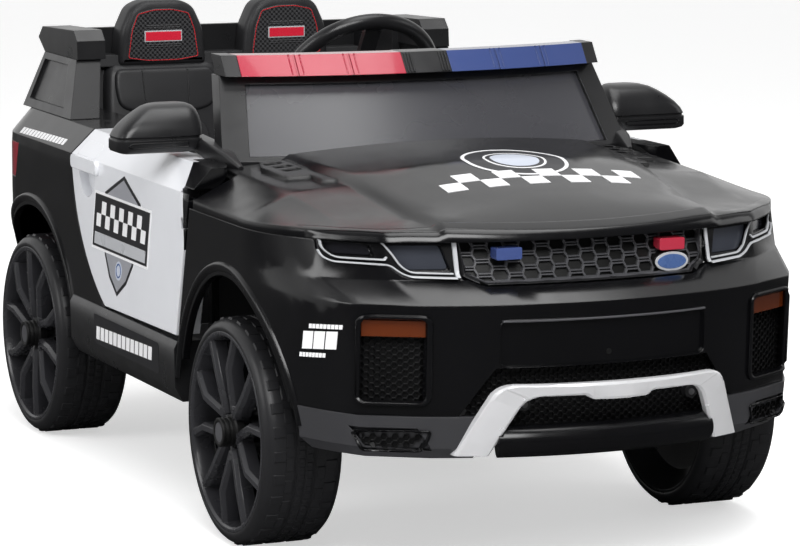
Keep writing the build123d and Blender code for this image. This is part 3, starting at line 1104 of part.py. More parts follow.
knuckles = []
for name, side in SIDES:
    kingpin = (side * KINGPIN_X, FRONT_AXLE_Y)
    with BuildPart() as knuckle:
        for plate_z in (LOWER_PLATE_TOP_Z - KNUCKLE_PLATE, UPPER_PLATE_BOTTOM_Z):
            with BuildSketch(Plane.XY.offset(plate_z)) as plate:
                with Locations(kingpin):
                    Circle(EYE_RADIUS)
                with Locations((side * (KINGPIN_X + 9), FRONT_AXLE_Y)):
                    Rectangle(18, 2 * EYE_RADIUS)
            extrude(amount=KNUCKLE_PLATE)
        with BuildSketch(Plane.XY.offset(LOWER_PLATE_TOP_Z - KNUCKLE_PLATE)) as pin:
            with Locations(kingpin):
                Circle(KINGPIN_RADIUS)
        extrude(amount=UPPER_PLATE_BOTTOM_Z - LOWER_PLATE_TOP_Z + 2 * KNUCKLE_PLATE)
        with BuildSketch(Plane.XY.offset(LOWER_PLATE_TOP_Z - KNUCKLE_PLATE)) as upright:
            with Locations((side * (KINGPIN_X + EYE_RADIUS + 3.5), FRONT_AXLE_Y)):
                Rectangle(5, 2 * EYE_RADIUS)
        extrude(amount=UPPER_PLATE_BOTTOM_Z - LOWER_PLATE_TOP_Z + 2 * KNUCKLE_PLATE)
        with BuildSketch(Plane.YZ.offset(side * (KINGPIN_X + EYE_RADIUS + 2))) as stub:
            with Locations((FRONT_AXLE_Y, AXLE_Z)):
                Circle(AXLE_RADIUS)
        extrude(amount=side * (STUB_END_X - KINGPIN_X - EYE_RADIUS - 2))
        # steering arm with its pin
        with BuildSketch(Plane.XY.offset(LOWER_PLATE_TOP_Z - KNUCKLE_PLATE)) as arm:
            with Locations((kingpin[0], FRONT_AXLE_Y + ARM_LENGTH / 2)):
                SlotCenterToCenter(ARM_LENGTH, 14, rotation=90)
        extrude(amount=KNUCKLE_PLATE)
        with BuildSketch(Plane.XY.offset(TIE_ROD_Z - ROD_EYE_HEIGHT)) as arm_pin:
            with Locations((kingpin[0], TIE_ROD_Y)):
                Circle(ARM_PIN_RADIUS)
        extrude(amount=LOWER_PLATE_TOP_Z - TIE_ROD_Z + ROD_EYE_HEIGHT)
    knuckle.part.label = "knuckle_" + name
    knuckles.append(knuckle)

FORK_GAP = 1.5
FORK_SLOT_LENGTH = 40.0
FORK_REAR_Y = CRANK_PIN_Y + FORK_SLOT_LENGTH / 2 + 8
with BuildPart() as tie_rod:
    with BuildSketch(Plane.YZ.offset(-KINGPIN_X)) as rod:
        with Locations((TIE_ROD_Y, TIE_ROD_Z)):
            Circle(ROD_RADIUS)
    extrude(amount=2 * KINGPIN_X)
    with BuildSketch(Plane.XY.offset(TIE_ROD_Z - ROD_EYE_HEIGHT / 2)) as rod_eyes:
        for name, side in SIDES:
            with Locations((side * KINGPIN_X, TIE_ROD_Y)):
                Circle(ROD_EYE_RADIUS)
    extrude(amount=ROD_EYE_HEIGHT)
    # slotted plate that the crank pin moves sideways
    with BuildSketch(Plane.XY.offset(TIE_ROD_Z - 2.5)) as fork:
        with Locations((COLUMN_X, (TIE_ROD_Y + FORK_REAR_Y) / 2)):
            Rectangle(34, FORK_REAR_Y - TIE_ROD_Y)
        with Locations((COLUMN_X, CRANK_PIN_Y)):
            Rectangle(2 * (CRANK_PIN_RADIUS + FORK_GAP), FORK_SLOT_LENGTH, mode=Mode.SUBTRACT)
    extrude(amount=5)
    with BuildSketch(Plane.XY) as rod_bores:
        for name, side in SIDES:
            with Locations((side * KINGPIN_X, TIE_ROD_Y)):
                Circle(ARM_PIN_RADIUS + RUNNING)
    extrude(amount=FAR, mode=Mode.SUBTRACT)
tie_rod.part.label = "tie_rod"

with BuildPart() as rear_axle:
    with BuildSketch(Plane.YZ.offset(-STUB_END_X)) as axle:
        with Locations((REAR_AXLE_Y, AXLE_Z)):
            Circle(AXLE_RADIUS)
    extrude(amount=2 * STUB_END_X)
rear_axle.part.label = "rear_axle"

GEARBOX = (44.0, 92.0, 74.0)        # width, length, height
GEARBOX_X = SEAT_BAY_HALF - SKIN - TOUCH - GEARBOX[0] / 2 - TOUCH

with BuildPart() as gearboxes:
    for name, side in SIDES:
        with BuildSketch(Plane.XY.offset(AXLE_Z - 30)) as gearbox_plan:
            with Locations((side * GEARBOX_X, REAR_AXLE_Y - 12)):
                RectangleRounded(GEARBOX[0], GEARBOX[1], 10)
        extrude(amount=GEARBOX[2])
    with BuildSketch(Plane.YZ) as gearbox_bore:
        with Locations((REAR_AXLE_Y, AXLE_Z)):
            Circle(AXLE_RADIUS + RUNNING)
    extrude(amount=FAR, both=True, mode=Mode.SUBTRACT)
gearboxes.part.label = "gearboxes"

BATTERY = (65.0, 151.0, 94.0)       # width, length, height of a 12 volt block
with BuildPart() as battery:
    with BuildSketch(Plane.XY.offset(BEAM_TOP_Z + TOUCH)) as battery_plan:
        with Locations((0, FRONT_AXLE_Y)):
            Rectangle(BATTERY[0], BATTERY[1])
    extrude(amount=BATTERY[2])
battery.part.label = "battery"

# ---------------------------------------------------------------- wheels
RIM_OUTER_RADIUS = 103.0
RIM_WALL = 8.0
HUB_RADIUS = 18.0
HUB_CAP_RADIUS = 15.0
HUB_CAP_PROUD = 6.5             # out from the wheel's outer face
SPOKE_COUNT = 5
SPOKE_TURN = {"front": -8.5, "rear": 42.0}      # first spoke above the forward horizontal, degrees
SPOKE_WIDTH = 10.4
SPOKE_STEM = (16.0, 30.0, 18.0)     # from radius, to radius, width
# each of a spoke's two legs: radius, degrees off the spoke's middle
SPOKE_LEG = ((24.0, 6.0), (66.0, 21.5), (RIM_OUTER_RADIUS - 5, 16.8))
SPOKE_DEPTH = (1.5, 22.0)       # front and back face, in from the wheel's outer face
SHOULDER = 12.0
RIM_DISC_DEPTH = 26.0           # inner dished disc, in from the wheel's inner face


def spoke_set(axle_y, turn):
    """Five Y-shaped spokes in side view, the first one turned up from the forward horizontal."""
    with BuildSketch(Plane.YZ) as spokes:
        for index in range(SPOKE_COUNT):
            middle = 180 - turn + index * 360 / SPOKE_COUNT
            with Locations(Location((axle_y, AXLE_Z), middle)):
                with Locations((sum(SPOKE_STEM[:2]) / 2, 0)):
                    Rectangle(SPOKE_STEM[1] - SPOKE_STEM[0], SPOKE_STEM[2])
            for way in (-1, 1):
                angles = [(radius, radians(middle + way * off)) for radius, off in SPOKE_LEG]
                with BuildLine():
                    Polyline(*((axle_y + radius * cos(angle), AXLE_Z + radius * sin(angle))
                               for radius, angle in angles))
                trace(line_width=SPOKE_WIDTH)
    return spokes.sketch_local


wheels = []
for end, axle_y in (("front", FRONT_AXLE_Y), ("rear", REAR_AXLE_Y)):
    for name, side in SIDES:
        inner_x, outer_x = side * WHEEL_INNER_X, side * WHEEL_FACE_X
        wheel_axis = Axis((0, axle_y, AXLE_Z), (1, 0, 0))
        with BuildPart() as tyre:
            with BuildSketch(Plane.XZ.offset(-axle_y)) as tyre_section:
                with BuildLine():
                    Polyline((inner_x, AXLE_Z + RIM_OUTER_RADIUS),
                             (inner_x, AXLE_Z + WHEEL_RADIUS - SHOULDER / 2),
                             (inner_x + side * SHOULDER, AXLE_Z + WHEEL_RADIUS),
                             (outer_x - side * SHOULDER, AXLE_Z + WHEEL_RADIUS),
                             (outer_x, AXLE_Z + WHEEL_RADIUS - SHOULDER / 2),
                             (outer_x, AXLE_Z + RIM_OUTER_RADIUS), close=True)
                make_face()
            revolve(axis=wheel_axis)
        tyre.part.label = "tyre_" + end + "_" + name
        wheels.append(tyre)
        with BuildPart() as rim:
            with BuildSketch(Plane.YZ.offset(inner_x)) as barrel:
                with Locations((axle_y, AXLE_Z)):
                    Circle(RIM_OUTER_RADIUS - TOUCH)
                    Circle(RIM_OUTER_RADIUS - RIM_WALL, mode=Mode.SUBTRACT)
            extrude(amount=side * (TYRE_WIDTH - 3))
            with BuildSketch(Plane.YZ.offset(inner_x + side * RIM_DISC_DEPTH)) as disc:
                with Locations((axle_y, AXLE_Z)):
                    Circle(RIM_OUTER_RADIUS - RIM_WALL + 1)
            extrude(amount=side * 5)
            with BuildSketch(Plane.YZ.offset(inner_x + side * 6)) as hub:
                with Locations((axle_y, AXLE_Z)):
                    Circle(HUB_RADIUS)
            extrude(amount=side * (TYRE_WIDTH - 12))
            with BuildSketch(Plane.YZ.offset(outer_x - side * SPOKE_DEPTH[1])) as spokes:
                add(spoke_set(axle_y, SPOKE_TURN[end]))
            extrude(amount=side * (SPOKE_DEPTH[1] - SPOKE_DEPTH[0]))
            with BuildSketch(Plane.YZ.offset(outer_x - side * SPOKE_DEPTH[1])) as hub_cap:
                with Locations((axle_y, AXLE_Z)):
                    Circle(HUB_CAP_RADIUS)
            extrude(amount=side * (SPOKE_DEPTH[1] + HUB_CAP_PROUD))
            with BuildSketch(Plane.YZ.offset(inner_x)) as hub_bore:
                with Locations((axle_y, AXLE_Z)):
                    Circle(AXLE_RADIUS + RUNNING)
            extrude(amount=side * (STUB_END_X + 3 - WHEEL_INNER_X), mode=Mode.SUBTRACT)
        rim.part.label = "rim_" + end + "_" + name
        wheels.append(rim)

PIECES = [
    front_body, tub, hood, windscreen_frame, windscreen, light_bar_base, *lenses, dashboard,
    steering_wheel, steering_shaft, *doors, door_hinges, rear_body, rear_pillars, spoiler, seat,
    headrests, front_lip, tube_bar, bright_trim, intake_mesh, grille, headlamps, *grille_lamps,
    fog_lamps, fog_meshes, *mirrors, tail_lamps, rear_valance, front_axle, *knuckles, tie_rod,
    rear_axle, gearboxes, battery, *wheels,
]
os.makedirs("parts", exist_ok=True)
for piece in PIECES:
    export_step(piece.part, "parts/" + piece.part.label + ".step")
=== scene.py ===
"""Look of the two-seat ride-on police car: finishes, wheels, grilles, lamps, trim, seats and graphics."""
import functools
import json
import math

import bmesh
import bpy
from mathutils import Matrix, Vector
from mathutils.bvhtree import BVHTree

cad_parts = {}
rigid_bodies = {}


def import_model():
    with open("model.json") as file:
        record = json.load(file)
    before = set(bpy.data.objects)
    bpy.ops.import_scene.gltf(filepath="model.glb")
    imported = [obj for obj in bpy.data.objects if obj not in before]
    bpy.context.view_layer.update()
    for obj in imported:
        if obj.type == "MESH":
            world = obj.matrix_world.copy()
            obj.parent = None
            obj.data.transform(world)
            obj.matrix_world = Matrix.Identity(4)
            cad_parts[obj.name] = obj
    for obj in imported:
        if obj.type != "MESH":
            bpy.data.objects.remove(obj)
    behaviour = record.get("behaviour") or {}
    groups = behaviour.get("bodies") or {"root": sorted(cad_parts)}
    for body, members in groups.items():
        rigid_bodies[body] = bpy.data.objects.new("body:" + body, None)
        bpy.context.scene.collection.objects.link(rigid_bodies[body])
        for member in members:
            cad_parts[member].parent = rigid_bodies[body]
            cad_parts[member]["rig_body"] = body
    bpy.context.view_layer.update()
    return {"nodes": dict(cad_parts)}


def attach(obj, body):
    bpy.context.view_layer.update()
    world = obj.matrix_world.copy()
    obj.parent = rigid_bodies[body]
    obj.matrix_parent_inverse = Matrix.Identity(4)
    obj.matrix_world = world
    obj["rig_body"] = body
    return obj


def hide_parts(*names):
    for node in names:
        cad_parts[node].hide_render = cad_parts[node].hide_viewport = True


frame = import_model()

# ---------------------------------------------------------------- sizes, in millimetres
MM = 0.001
FRONT_AXLE_Y = -258.0
REAR_AXLE_Y = 396.0
AXLE_Z = 118.5
WHEEL_FACE_X = 293.0
TYRE_WIDTH = 86.0
TYRE_RADIUS = 118.5
SIDES = (("right", -1), ("left", 1))
ENDS = (("front", FRONT_AXLE_Y), ("rear", REAR_AXLE_Y))
BODY = "body"


# ---------------------------------------------------------------- materials
class Nodes:
    """Small helper that adds and links the nodes of a material or of the world."""

    def __init__(self, owner, shader="Principled BSDF"):
        owner.use_nodes = True
        self.owner, self.tree = owner, owner.node_tree
        self.shader = self.tree.nodes[shader]

    def add(self, kind, **sockets):
        node = self.tree.nodes.new(kind)
        for socket, value in sockets.items():
            node.inputs[socket.replace("_", " ")].default_value = value
        return node

    def link(self, source, target):
        self.tree.links.new(source, target)

    def coordinates(self, scale=(1.0, 1.0, 1.0)):
        mapping = self.add("ShaderNodeMapping", Scale=scale)
        self.link(self.add("ShaderNodeTexCoord").outputs["Object"], mapping.inputs["Vector"])
        return mapping.outputs["Vector"]

    def noise(self, scale, detail=3.0, stretch=(1.0, 1.0, 1.0)):
        node = self.add("ShaderNodeTexNoise", Scale=scale, Detail=detail)
        self.link(self.coordinates(stretch), node.inputs["Vector"])
        return node.outputs["Fac"]

    def ramp(self, factor, low, high, start=0.3, end=0.7):
        node = self.add("ShaderNodeMapRange", From_Min=start, From_Max=end, To_Min=low, To_Max=high)
        self.link(factor, node.inputs["Value"])
        return node.outputs["Result"]

    def colour(self, factor, dark, light):
        node = self.add("ShaderNodeMix")
        node.data_type = "RGBA"
        node.inputs[6].default_value = (*dark, 1.0)
        node.inputs[7].default_value = (*light, 1.0)
        self.link(factor, node.inputs["Factor"])
        self.link(node.outputs[2], self.shader.inputs["Base Color"])

    def rough(self, factor, low, high, *ends):
        self.link(self.ramp(factor, low, high, *ends), self.shader.inputs["Roughness"])

    def normal(self, height, strength, distance, edge=0.0):
        bump = self.add("ShaderNodeBump", Strength=strength, Distance=distance)
        self.link(height, bump.inputs["Height"])
        if edge > 0:
            bevel = self.add("ShaderNodeBevel", Radius=edge)
            bevel.samples = 4
            self.link(bevel.outputs["Normal"], bump.inputs["Normal"])
        self.link(bump.outputs["Normal"], self.shader.inputs["Normal"])

    def set(self, **values):
        for socket, value in values.items():
            self.shader.inputs[socket.replace("_", " ")].default_value = value


def material_nodes(name):
    return Nodes(bpy.data.materials.new(name))


def surface(name, tone, dark, light, patches, rough, grain=None, **settings):
    """A material whose colour and roughness, and relief if any, follow noises given by scale and detail."""
    n = material_nodes(name)
    n.colour(n.noise(*tone), dark, light)
    n.rough(n.noise(*patches), *rough)
    if grain:
        scale, detail, *relief = grain
        n.normal(n.noise(scale, detail), *relief)
    n.set(**settings)
    return n.owner


def moulded(name, dark, light, rough, grain=900.0, depth=4e-5, edge=0.0012, level=0.35, strength=0.25):
    """Moulded plastic: slight colour drift, roughness patches and a fine grain."""
    return surface(name, (9.0,), dark, light, (35.0, 5.0), rough, (grain, 2.0, strength, depth, edge),
                   Specular_IOR_Level=level)


def plated(name, metallic, rough):
    """Bright plated plastic."""
    return surface(name, (20.0,), (0.84, 0.84, 0.86), (0.94, 0.94, 0.96), (60.0, 4.0),
                   (rough * 0.7, rough * 1.4), (300.0, 2.0, 0.05, 3e-5, 0.0012), Metallic=metallic)


def lens_material(name, colour, glow, rough, emission):
    """Coloured clear plastic, lighter where it is thin, with a faint painted glow."""
    n = material_nodes(name)
    facing = n.add("ShaderNodeLayerWeight", Blend=0.35)
    n.colour(n.ramp(facing.outputs["Facing"], 1.0, 0.0, 0.0, 0.8), colour, glow)
    n.rough(n.noise(50.0), rough * 0.8, rough * 1.3)
    n.normal(n.noise(160.0, 1.0), 0.1, 0.0001, 0.0012)
    n.set(Coat_Weight=0.6, Coat_Roughness=0.05, Specular_IOR_Level=0.5)
    # a faint painted glow in the lens colour that lightens the lenses
    n.set(Emission_Color=(*glow, 1.0), Emission_Strength=emission)
    return n.owner


def weave_material():
    """Carbon-look weave of the headrest panels."""
    n = material_nodes("woven_panel")
    checker = n.add("ShaderNodeTexChecker", Scale=330.0)
    n.link(n.coordinates(), checker.inputs["Vector"])
    n.colour(checker.outputs["Fac"], (0.012, 0.012, 0.013), (0.045, 0.045, 0.048))
    n.rough(checker.outputs["Fac"], 0.28, 0.5, 0.0, 1.0)
    n.normal(checker.outputs["Fac"], 0.3, 0.0002)
    return n.owner


STICKER = ((0.3, 0.4), 400, 2e-5, 0)
SHINY_BLACK = ((0.0025, 0.0025, 0.003), (0.004, 0.004, 0.0048), (0.16, 0.24), 260, 2e-5)
GLASS = (200, 2e-5, 0.001, 0.6, 0.05)
# name, darker and lighter colour, roughness from and to, grain's scale, its depth and the rounded edge in
# metres, specular level, grain's strength
MOULDED = (
    ("gloss_black", *SHINY_BLACK, 0.0018, 0.5, 0.05),
    ("hood_black", *SHINY_BLACK, 0.0065, 0.5, 0.05),
    ("satin_black", (0.009, 0.009, 0.010), (0.015, 0.015, 0.016), (0.26, 0.36), 1400, 4e-5, 0.0012, 0.5),
    # the next row is lighter than the other blacks: a painted reflection of the pale floor on the
    # downward-facing front lip
    ("lip_black", (0.03, 0.03, 0.033), (0.045, 0.045, 0.049), (0.3, 0.4), 1200),
    ("deep_black", (0.003, 0.003, 0.003), (0.006, 0.006, 0.006), (0.45, 0.6)),
    ("mesh_black", (0.003, 0.003, 0.0035), (0.006, 0.006, 0.0065), (0.45, 0.55), 900, 2e-5, 0),
    # the next row is a lighter grey that paints highlights on the grille's hexagon rims, its inner edge line
    # and the plate ledge, and colours the hub caps' pale face
    ("edge_grey", (0.055, 0.055, 0.06), (0.085, 0.085, 0.092), (0.3, 0.4), 900, 2e-5, 0),
    ("rim_black", (0.022, 0.022, 0.025), (0.034, 0.034, 0.038), (0.2, 0.3), 800, 3e-5, 0.0012, 0.55),
    ("tyre_black", (0.011, 0.011, 0.012), (0.018, 0.018, 0.020), (0.32, 0.44), 700, 4e-5, 0.001),
    ("door_white", (0.68, 0.69, 0.72), (0.74, 0.75, 0.78), (0.16, 0.24), 260, 2e-5, 0.0018, 0.45, 0.06),
    ("sticker_white", (0.78, 0.78, 0.79), (0.86, 0.86, 0.87), *STICKER),
    ("sticker_black", (0.012, 0.012, 0.014), (0.02, 0.02, 0.022), *STICKER),
    ("sticker_pale", (0.42, 0.46, 0.55), (0.62, 0.65, 0.72), *STICKER),
    ("sticker_grey", (0.26, 0.265, 0.29), (0.34, 0.345, 0.37), *STICKER),
    ("seat_black", (0.014, 0.014, 0.015), (0.024, 0.024, 0.026), (0.38, 0.5), 1500, 8e-5, 0.002),
    ("stitch_red", (0.45, 0.012, 0.02), (0.62, 0.02, 0.03), (0.5, 0.6), 1500, 5e-5, 0),
    ("label_red", (0.62, 0.012, 0.035), (0.74, 0.02, 0.05), (0.3, 0.4), 700, 3e-5, 0),
    ("silver", (0.42, 0.43, 0.45), (0.52, 0.53, 0.55), (0.25, 0.35), 500, 2e-5, 0.0006, 0.6),
    ("dark_glass", (0.008, 0.008, 0.010), (0.014, 0.014, 0.018), (0.06, 0.12), *GLASS),
    ("slate_glass", (0.028, 0.031, 0.040), (0.05, 0.055, 0.07), (0.08, 0.16), *GLASS),
    ("battery_grey", (0.10, 0.10, 0.11), (0.14, 0.14, 0.15), (0.5, 0.6)),
)
# name, colour, colour where it is thin and of its painted glow, roughness, strength of the painted glow
LENSES = (
    ("red_lens", (0.20, 0.003, 0.010), (0.46, 0.030, 0.06), 0.2, 0.03),
    ("blue_lens", (0.015, 0.024, 0.085), (0.055, 0.085, 0.24), 0.2, 0.03),
    ("tail_red", (0.20, 0.004, 0.010), (0.45, 0.02, 0.05), 0.12, 0.06),
    ("amber_lens", (0.04, 0.007, 0.002), (0.10, 0.020, 0.004), 0.15, 0.02),
)
MATERIALS = {
    **{row[0]: moulded(*row) for row in MOULDED},
    **{row[0]: lens_material(*row) for row in LENSES},
    "chrome": plated("bright_chrome", 0.45, 0.2),
    "mirror_glass": plated("mirror_glass", 1.0, 0.05),
    "smoked": surface("smoked_acrylic", (4.0,), (0.045, 0.045, 0.052), (0.06, 0.06, 0.068), (12.0, 3.0),
                      (0.26, 0.28), Alpha=0.94, Specular_IOR_Level=1.0),
    # streaked along x
    "steel": surface("drawn_steel", (40.0, 4.0), (0.30, 0.30, 0.31), (0.48, 0.48, 0.49),
                     (120.0, 4.0, (1.0, 8.0, 8.0)), (0.3, 0.5), (500.0, 3.0, 0.1, 3e-5), Metallic=1.0),
    "weave": weave_material(),
    "badge": surface("blue_badge", (60.0,), (0.05, 0.10, 0.26), (0.08, 0.15, 0.36), (90.0,), (0.2, 0.35),
                     (400.0, 3.0, 0.1, 3e-5)),
}
# a piece's material and slot, where several pieces share both
GLOSS = ("gloss_black", "body_black")
TRIM = ("satin_black", "trim_black")
TUB = ("satin_black", "tub_black")
# lighter grey for painted highlights on the grille's hexagon rims and edge line
EDGE = ("edge_grey", "trim_black")
STEEL = ("steel", "steel")
DOOR = ("door_white", "door_white")
SEAT = ("seat_black", "seat_black")
WEAVE = ("weave", "seat_black")
RED = ("red_lens", "red_lens")
BLUE = ("blue_lens", "blue_lens")


# ---------------------------------------------------------------- mesh helpers
SAME_PLACE = 0.000004           # points of a new mesh this close, in metres, are one point
SAME_SKIN_PLACE = 0.00002       # and the same for a CAD mesh
SKIN_ANGLE = 32.0               # a CAD mesh's edges sharper than this, in degrees, stay sharp


def finish_mesh(name, mesh, material, slot, body, angle):
    """Smooths, paints and attaches a new mesh."""
    mesh.polygons.foreach_set("use_smooth", [True] * len(mesh.polygons))
    mesh.set_sharp_from_angle(angle=math.radians(angle))
    mesh.materials.clear()
    mesh.materials.append(MATERIALS[material])
    piece = bpy.data.objects.new(name, mesh)
    bpy.context.scene.collection.objects.link(piece)
    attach(piece, body)
    return piece


class Shape:
    """Collects points and faces in millimetres."""

    def __init__(self):
        self.verts, self.faces = [], []

    def grid(self, rows, closed=False):
        """Quads between rows of points; closed joins each row's end to its start."""
        start, count = len(self.verts), len(rows[0])
        for row in rows:
            self.verts.extend(row)
        for i in range(len(rows) - 1):
            for j in range(count if closed else count - 1):
                k = (j + 1) % count
                a, b = start + i * count, start + (i + 1) * count
                self.faces.append((a + j, a + k, b + k, b + j))
        return start

    def cap(self, points):
        start = len(self.verts)
        self.verts.extend(points)
        self.faces.append(tuple(range(start, start + len(points))))

    def tube(self, rows):
        """Closed rings joined into a solid with two end caps."""
        self.grid(rows, closed=True)
        self.cap(rows[0])
        self.cap(rows[-1])
        return self

    def join(self, other):
        start = len(self.verts)
        self.verts.extend(other.verts)
        self.faces.extend(tuple(start + i for i in face) for face in other.faces)
        return self

    def moved(self, move):
        self.verts = [move(p) for p in self.verts]
        return self

    def piece(self, name, material, slot=None, body=BODY, angle=35.0):
        """Makes the mesh, in metres."""
        mesh = bpy.data.meshes.new(name)
        mesh.from_pydata([(x * MM, y * MM, z * MM) for x, y, z in self.verts], [], self.faces)
        work = bmesh.new()
        work.from_mesh(mesh)
        bmesh.ops.remove_doubles(work, verts=work.verts, dist=SAME_PLACE)
        bmesh.ops.recalc_face_normals(work, faces=work.faces)
        work.to_mesh(mesh)
        work.free()
        return finish_mesh(name, mesh, material, slot, body, angle)


def offset_line(points, amount, closed=False):
    """The polyline moved sideways by amount, with mitred corners."""
    result = []
    count = len(points)
    for i, here in enumerate(points):
        before = points[i - 1] if (i or closed) else None
        after = points[(i + 1) % count] if (i < count - 1 or closed) else None
        normals = []
        for a, b in ((before, here), (here, after)):
            if a is None or b is None:
                continue
            dx, dy = b[0] - a[0], b[1] - a[1]
            length = math.hypot(dx, dy) or 1.0
            normals.append((-dy / length, dx / length))
        if len(normals) == 1:
            nx, ny = normals[0]
        else:
            nx, ny = normals[0][0] + normals[1][0], normals[0][1] + normals[1][1]
            size = nx * nx + ny * ny
            scale = min(2.0 / size, 2.5) if size > 1e-6 else 1.0
            nx, ny = nx * scale, ny * scale
        result.append((here[0] + nx * amount, here[1] + ny * amount))
    return result


def shrunk(outline, amount):
    """A closed outline moved towards its inside, whichever way it runs."""
    area = sum(a[0] * b[1] - b[0] * a[1] for a, b in zip(outline, outline[1:] + outline[:1]))
    return offset_line(outline, amount if area > 0 else -amount, True)


def swept(points, section, closed=False):
    """Rings of a section, as (sideways, height) pairs, along a flat polyline, as (u, v, height) points."""
    sides = [[(u, v, height) for u, v in offset_line(points, across, closed)] for across, height in section]
    return [list(points_round) for points_round in zip(*sides)]


def strip(shape, points, half_width, low, high, chamfer=0.8, closed=False):
    """A raised strip with chamfered top edges along a flat polyline."""
    section = ((half_width, low), (half_width, high - chamfer), (half_width - chamfer, high),
               (-half_width + chamfer, high), (-half_width, high - chamfer), (-half_width, low))
    rings = swept(points, section, closed)
    if closed:
        rings.append(rings[0])
        shape.grid(rings, closed=True)
    else:
        shape.tube(rings)
    return shape


def plate(shape, outline, low, high, chamfer=0.6):
    """A flat plate with a chamfered top edge."""
    return shape.tube([[(u, v, low) for u, v in outline], [(u, v, high - chamfer) for u, v in outline],
                       [(u, v, high) for u, v in shrunk(outline, chamfer)]])


def rounded(points, radius, steps=4, closed=True):
    """A line with each corner rounded."""
    result = []
    count = len(points)
    for i in range(count):
        if not closed and i in (0, count - 1):
            result.append(tuple(points[i]))
            continue
        a, b, c = (Vector(points[(i + k) % count]) for k in (-1, 0, 1))
        into, out = (a - b), (c - b)
        reach = min(radius, into.length * 0.45, out.length * 0.45)
        start, end = b + into.normalized() * reach, b + out.normalized() * reach
        for k in range(steps + 1):
            t = k / steps
            p = start * (1 - t) ** 2 + b * 2 * t * (1 - t) + end * t ** 2
            result.append((p.x, p.y))
    return result


def box_line(u0, u1, v0, v1, radius=0.0):
    """A rectangle's outline, with rounded corners where a radius is given."""
    corners = [(u0, v0), (u1, v0), (u1, v1), (u0, v1)]
    return rounded(corners, radius) if radius else corners


def oval(centre, half_u, half_v, steps):
    turns = [math.tau * k / steps for k in range(steps)]
    return [(centre[0] + half_u * math.cos(turn), centre[1] + half_v * math.sin(turn)) for turn in turns]


def part_way(a, b, k, parts):
    return tuple(p + (q - p) * k / parts for p, q in zip(a, b))


def dense(points, step, closed=False):
    """Points added along a polyline so that no run is longer than step."""
    result = []
    for a, b in zip(points, points[1:] + (points[:1] if closed else [])):
        parts = max(1, math.ceil(math.dist(a, b) / step))
        result.extend(part_way(a, b, k, parts) for k in range(parts))
    if not closed:
        result.append(points[-1])
    return result


def split(points, parts):
    """Each run of a polyline cut into the same number of parts."""
    result = [points[0]]
    for a, b in zip(points, points[1:]):
        result += [part_way(a, b, k, parts) for k in range(1, parts + 1)]
    return result


def span(outline, v):
    """Lowest and highest u at which an outline crosses the level v."""
    found = [a[0] + (b[0] - a[0]) * (v - a[1]) / (b[1] - a[1])
             for a, b in zip(outline, outline[1:] + outline[:1])
             if a[1] != b[1] and min(a[1], b[1]) <= v <= max(a[1], b[1])]
    return min(found), max(found)


def sheet(shape, outline, high, step=8.0, low=-0.4):
    """A thin sticker over an outline that every level crosses once, with its edges turned down."""
    levels = sorted({v for _, v in outline})
    bottom, top = levels[0], levels[-1]
    parts = max(1, math.ceil((top - bottom) / step))
    levels = sorted({*levels, *(bottom + (top - bottom) * k / parts for k in range(parts + 1))})
    levels[0], levels[-1] = bottom + 0.01, top - 0.01
    width = max(u for u, _ in outline) - min(u for u, _ in outline)
    across = max(1, math.ceil(width / step))
    rows = []
    for v in levels:
        left, right = span(outline, v)
        row = [(left + (right - left) * k / across, v, high) for k in range(across + 1)]
        rows.append([(left, v, low)] + row + [(right, v, low)])
    first, last = ([(u, v, low) for u, v, _ in row] for row in (rows[0], rows[-1]))
    shape.grid([first] + rows + [last])
    return shape


RING_STEP = 8.0                 # longest run across a flat ring


def annulus(shape, centre, outer, inner, high, low=-0.4, steps=56):
    """A flat ring or, with no inner radius, a disc."""
    parts = max(1, math.ceil((outer - inner) / RING_STEP))
    rows = [(outer, low)] + [(outer + (inner - outer) * k / parts, high) for k in range(parts + 1)]
    if inner:
        rows.append((inner, low))
    shape.grid([[(u, v, h) for u, v in oval(centre, r, r, steps)] for r, h in rows], closed=True)
    return shape


def between(shape, outer, inner, low, high, chamfer):
    """A bar whose face lies between two lines of as many points, with chamfered edges."""
    rings = []
    for a, b in zip(outer, inner):
        length = math.dist(a, b)
        cu, cv = ((b[k] - a[k]) / length * chamfer for k in (0, 1))
        rings.append([(*a, low), (*a, high - chamfer), (a[0] + cu, a[1] + cv, high),
                      (b[0] - cu, b[1] - cv, high), (*b, high - chamfer), (*b, low)])
    return shape.tube(rings)


def pillow(shape, outline, low, high, radius, steps=4):
    """A pad with rounded front edges."""
    rows = [[(u, v, low) for u, v in outline]]
    for k in range(steps + 1):
        turn = math.pi / 2 * k / steps
        line = shrunk(outline, radius * (1 - math.cos(turn)))
        rows.append([(u, v, high - radius * (1 - math.sin(turn))) for u, v in line])
    return shape.tube(rows)


def inside(outline, u, v):
    hits = 0
    for (u0, v0), (u1, v1) in zip(outline, outline[1:] + outline[:1]):
        if (v0 > v) != (v1 > v) and u < u0 + (u1 - u0) * (v - v0) / (v1 - v0):
            hits += 1
    return hits % 2 == 1


def hexagon(wide, flat, tall):
    """Corners of a flat-topped hexagon from half its width, half its flat side and half its height."""
    return [(wide, 0), (flat, tall), (-flat, tall), (-wide, 0), (-flat, -tall), (flat, -tall)]


def cell_places(region, pitch):
    """Middles of the cells of a honeycomb; pitch is along a row and down a column."""
    along, down = pitch
    low_u, high_u = (pick(u for u, _ in region) for pick in (min, max))
    low_v, high_v = (pick(v for _, v in region) for pick in (min, max))
    columns = math.ceil((high_u - low_u) / along) + 1
    for row in range(math.ceil((high_v - low_v) / (down / 2)) + 1):
        for column in range(columns):
            u = (low_u + high_u) / 2 + (column - columns // 2 + 0.5 * (row % 2)) * along
            v = high_v - row * down / 2
            if inside(region, u, v):
                yield u, v


WALL_BEVEL = 0.4                # share of the wall between two cells that one cell's bevelled mouth takes
CELL_DRAFT = 0.98               # size of a cell's floor against its mouth


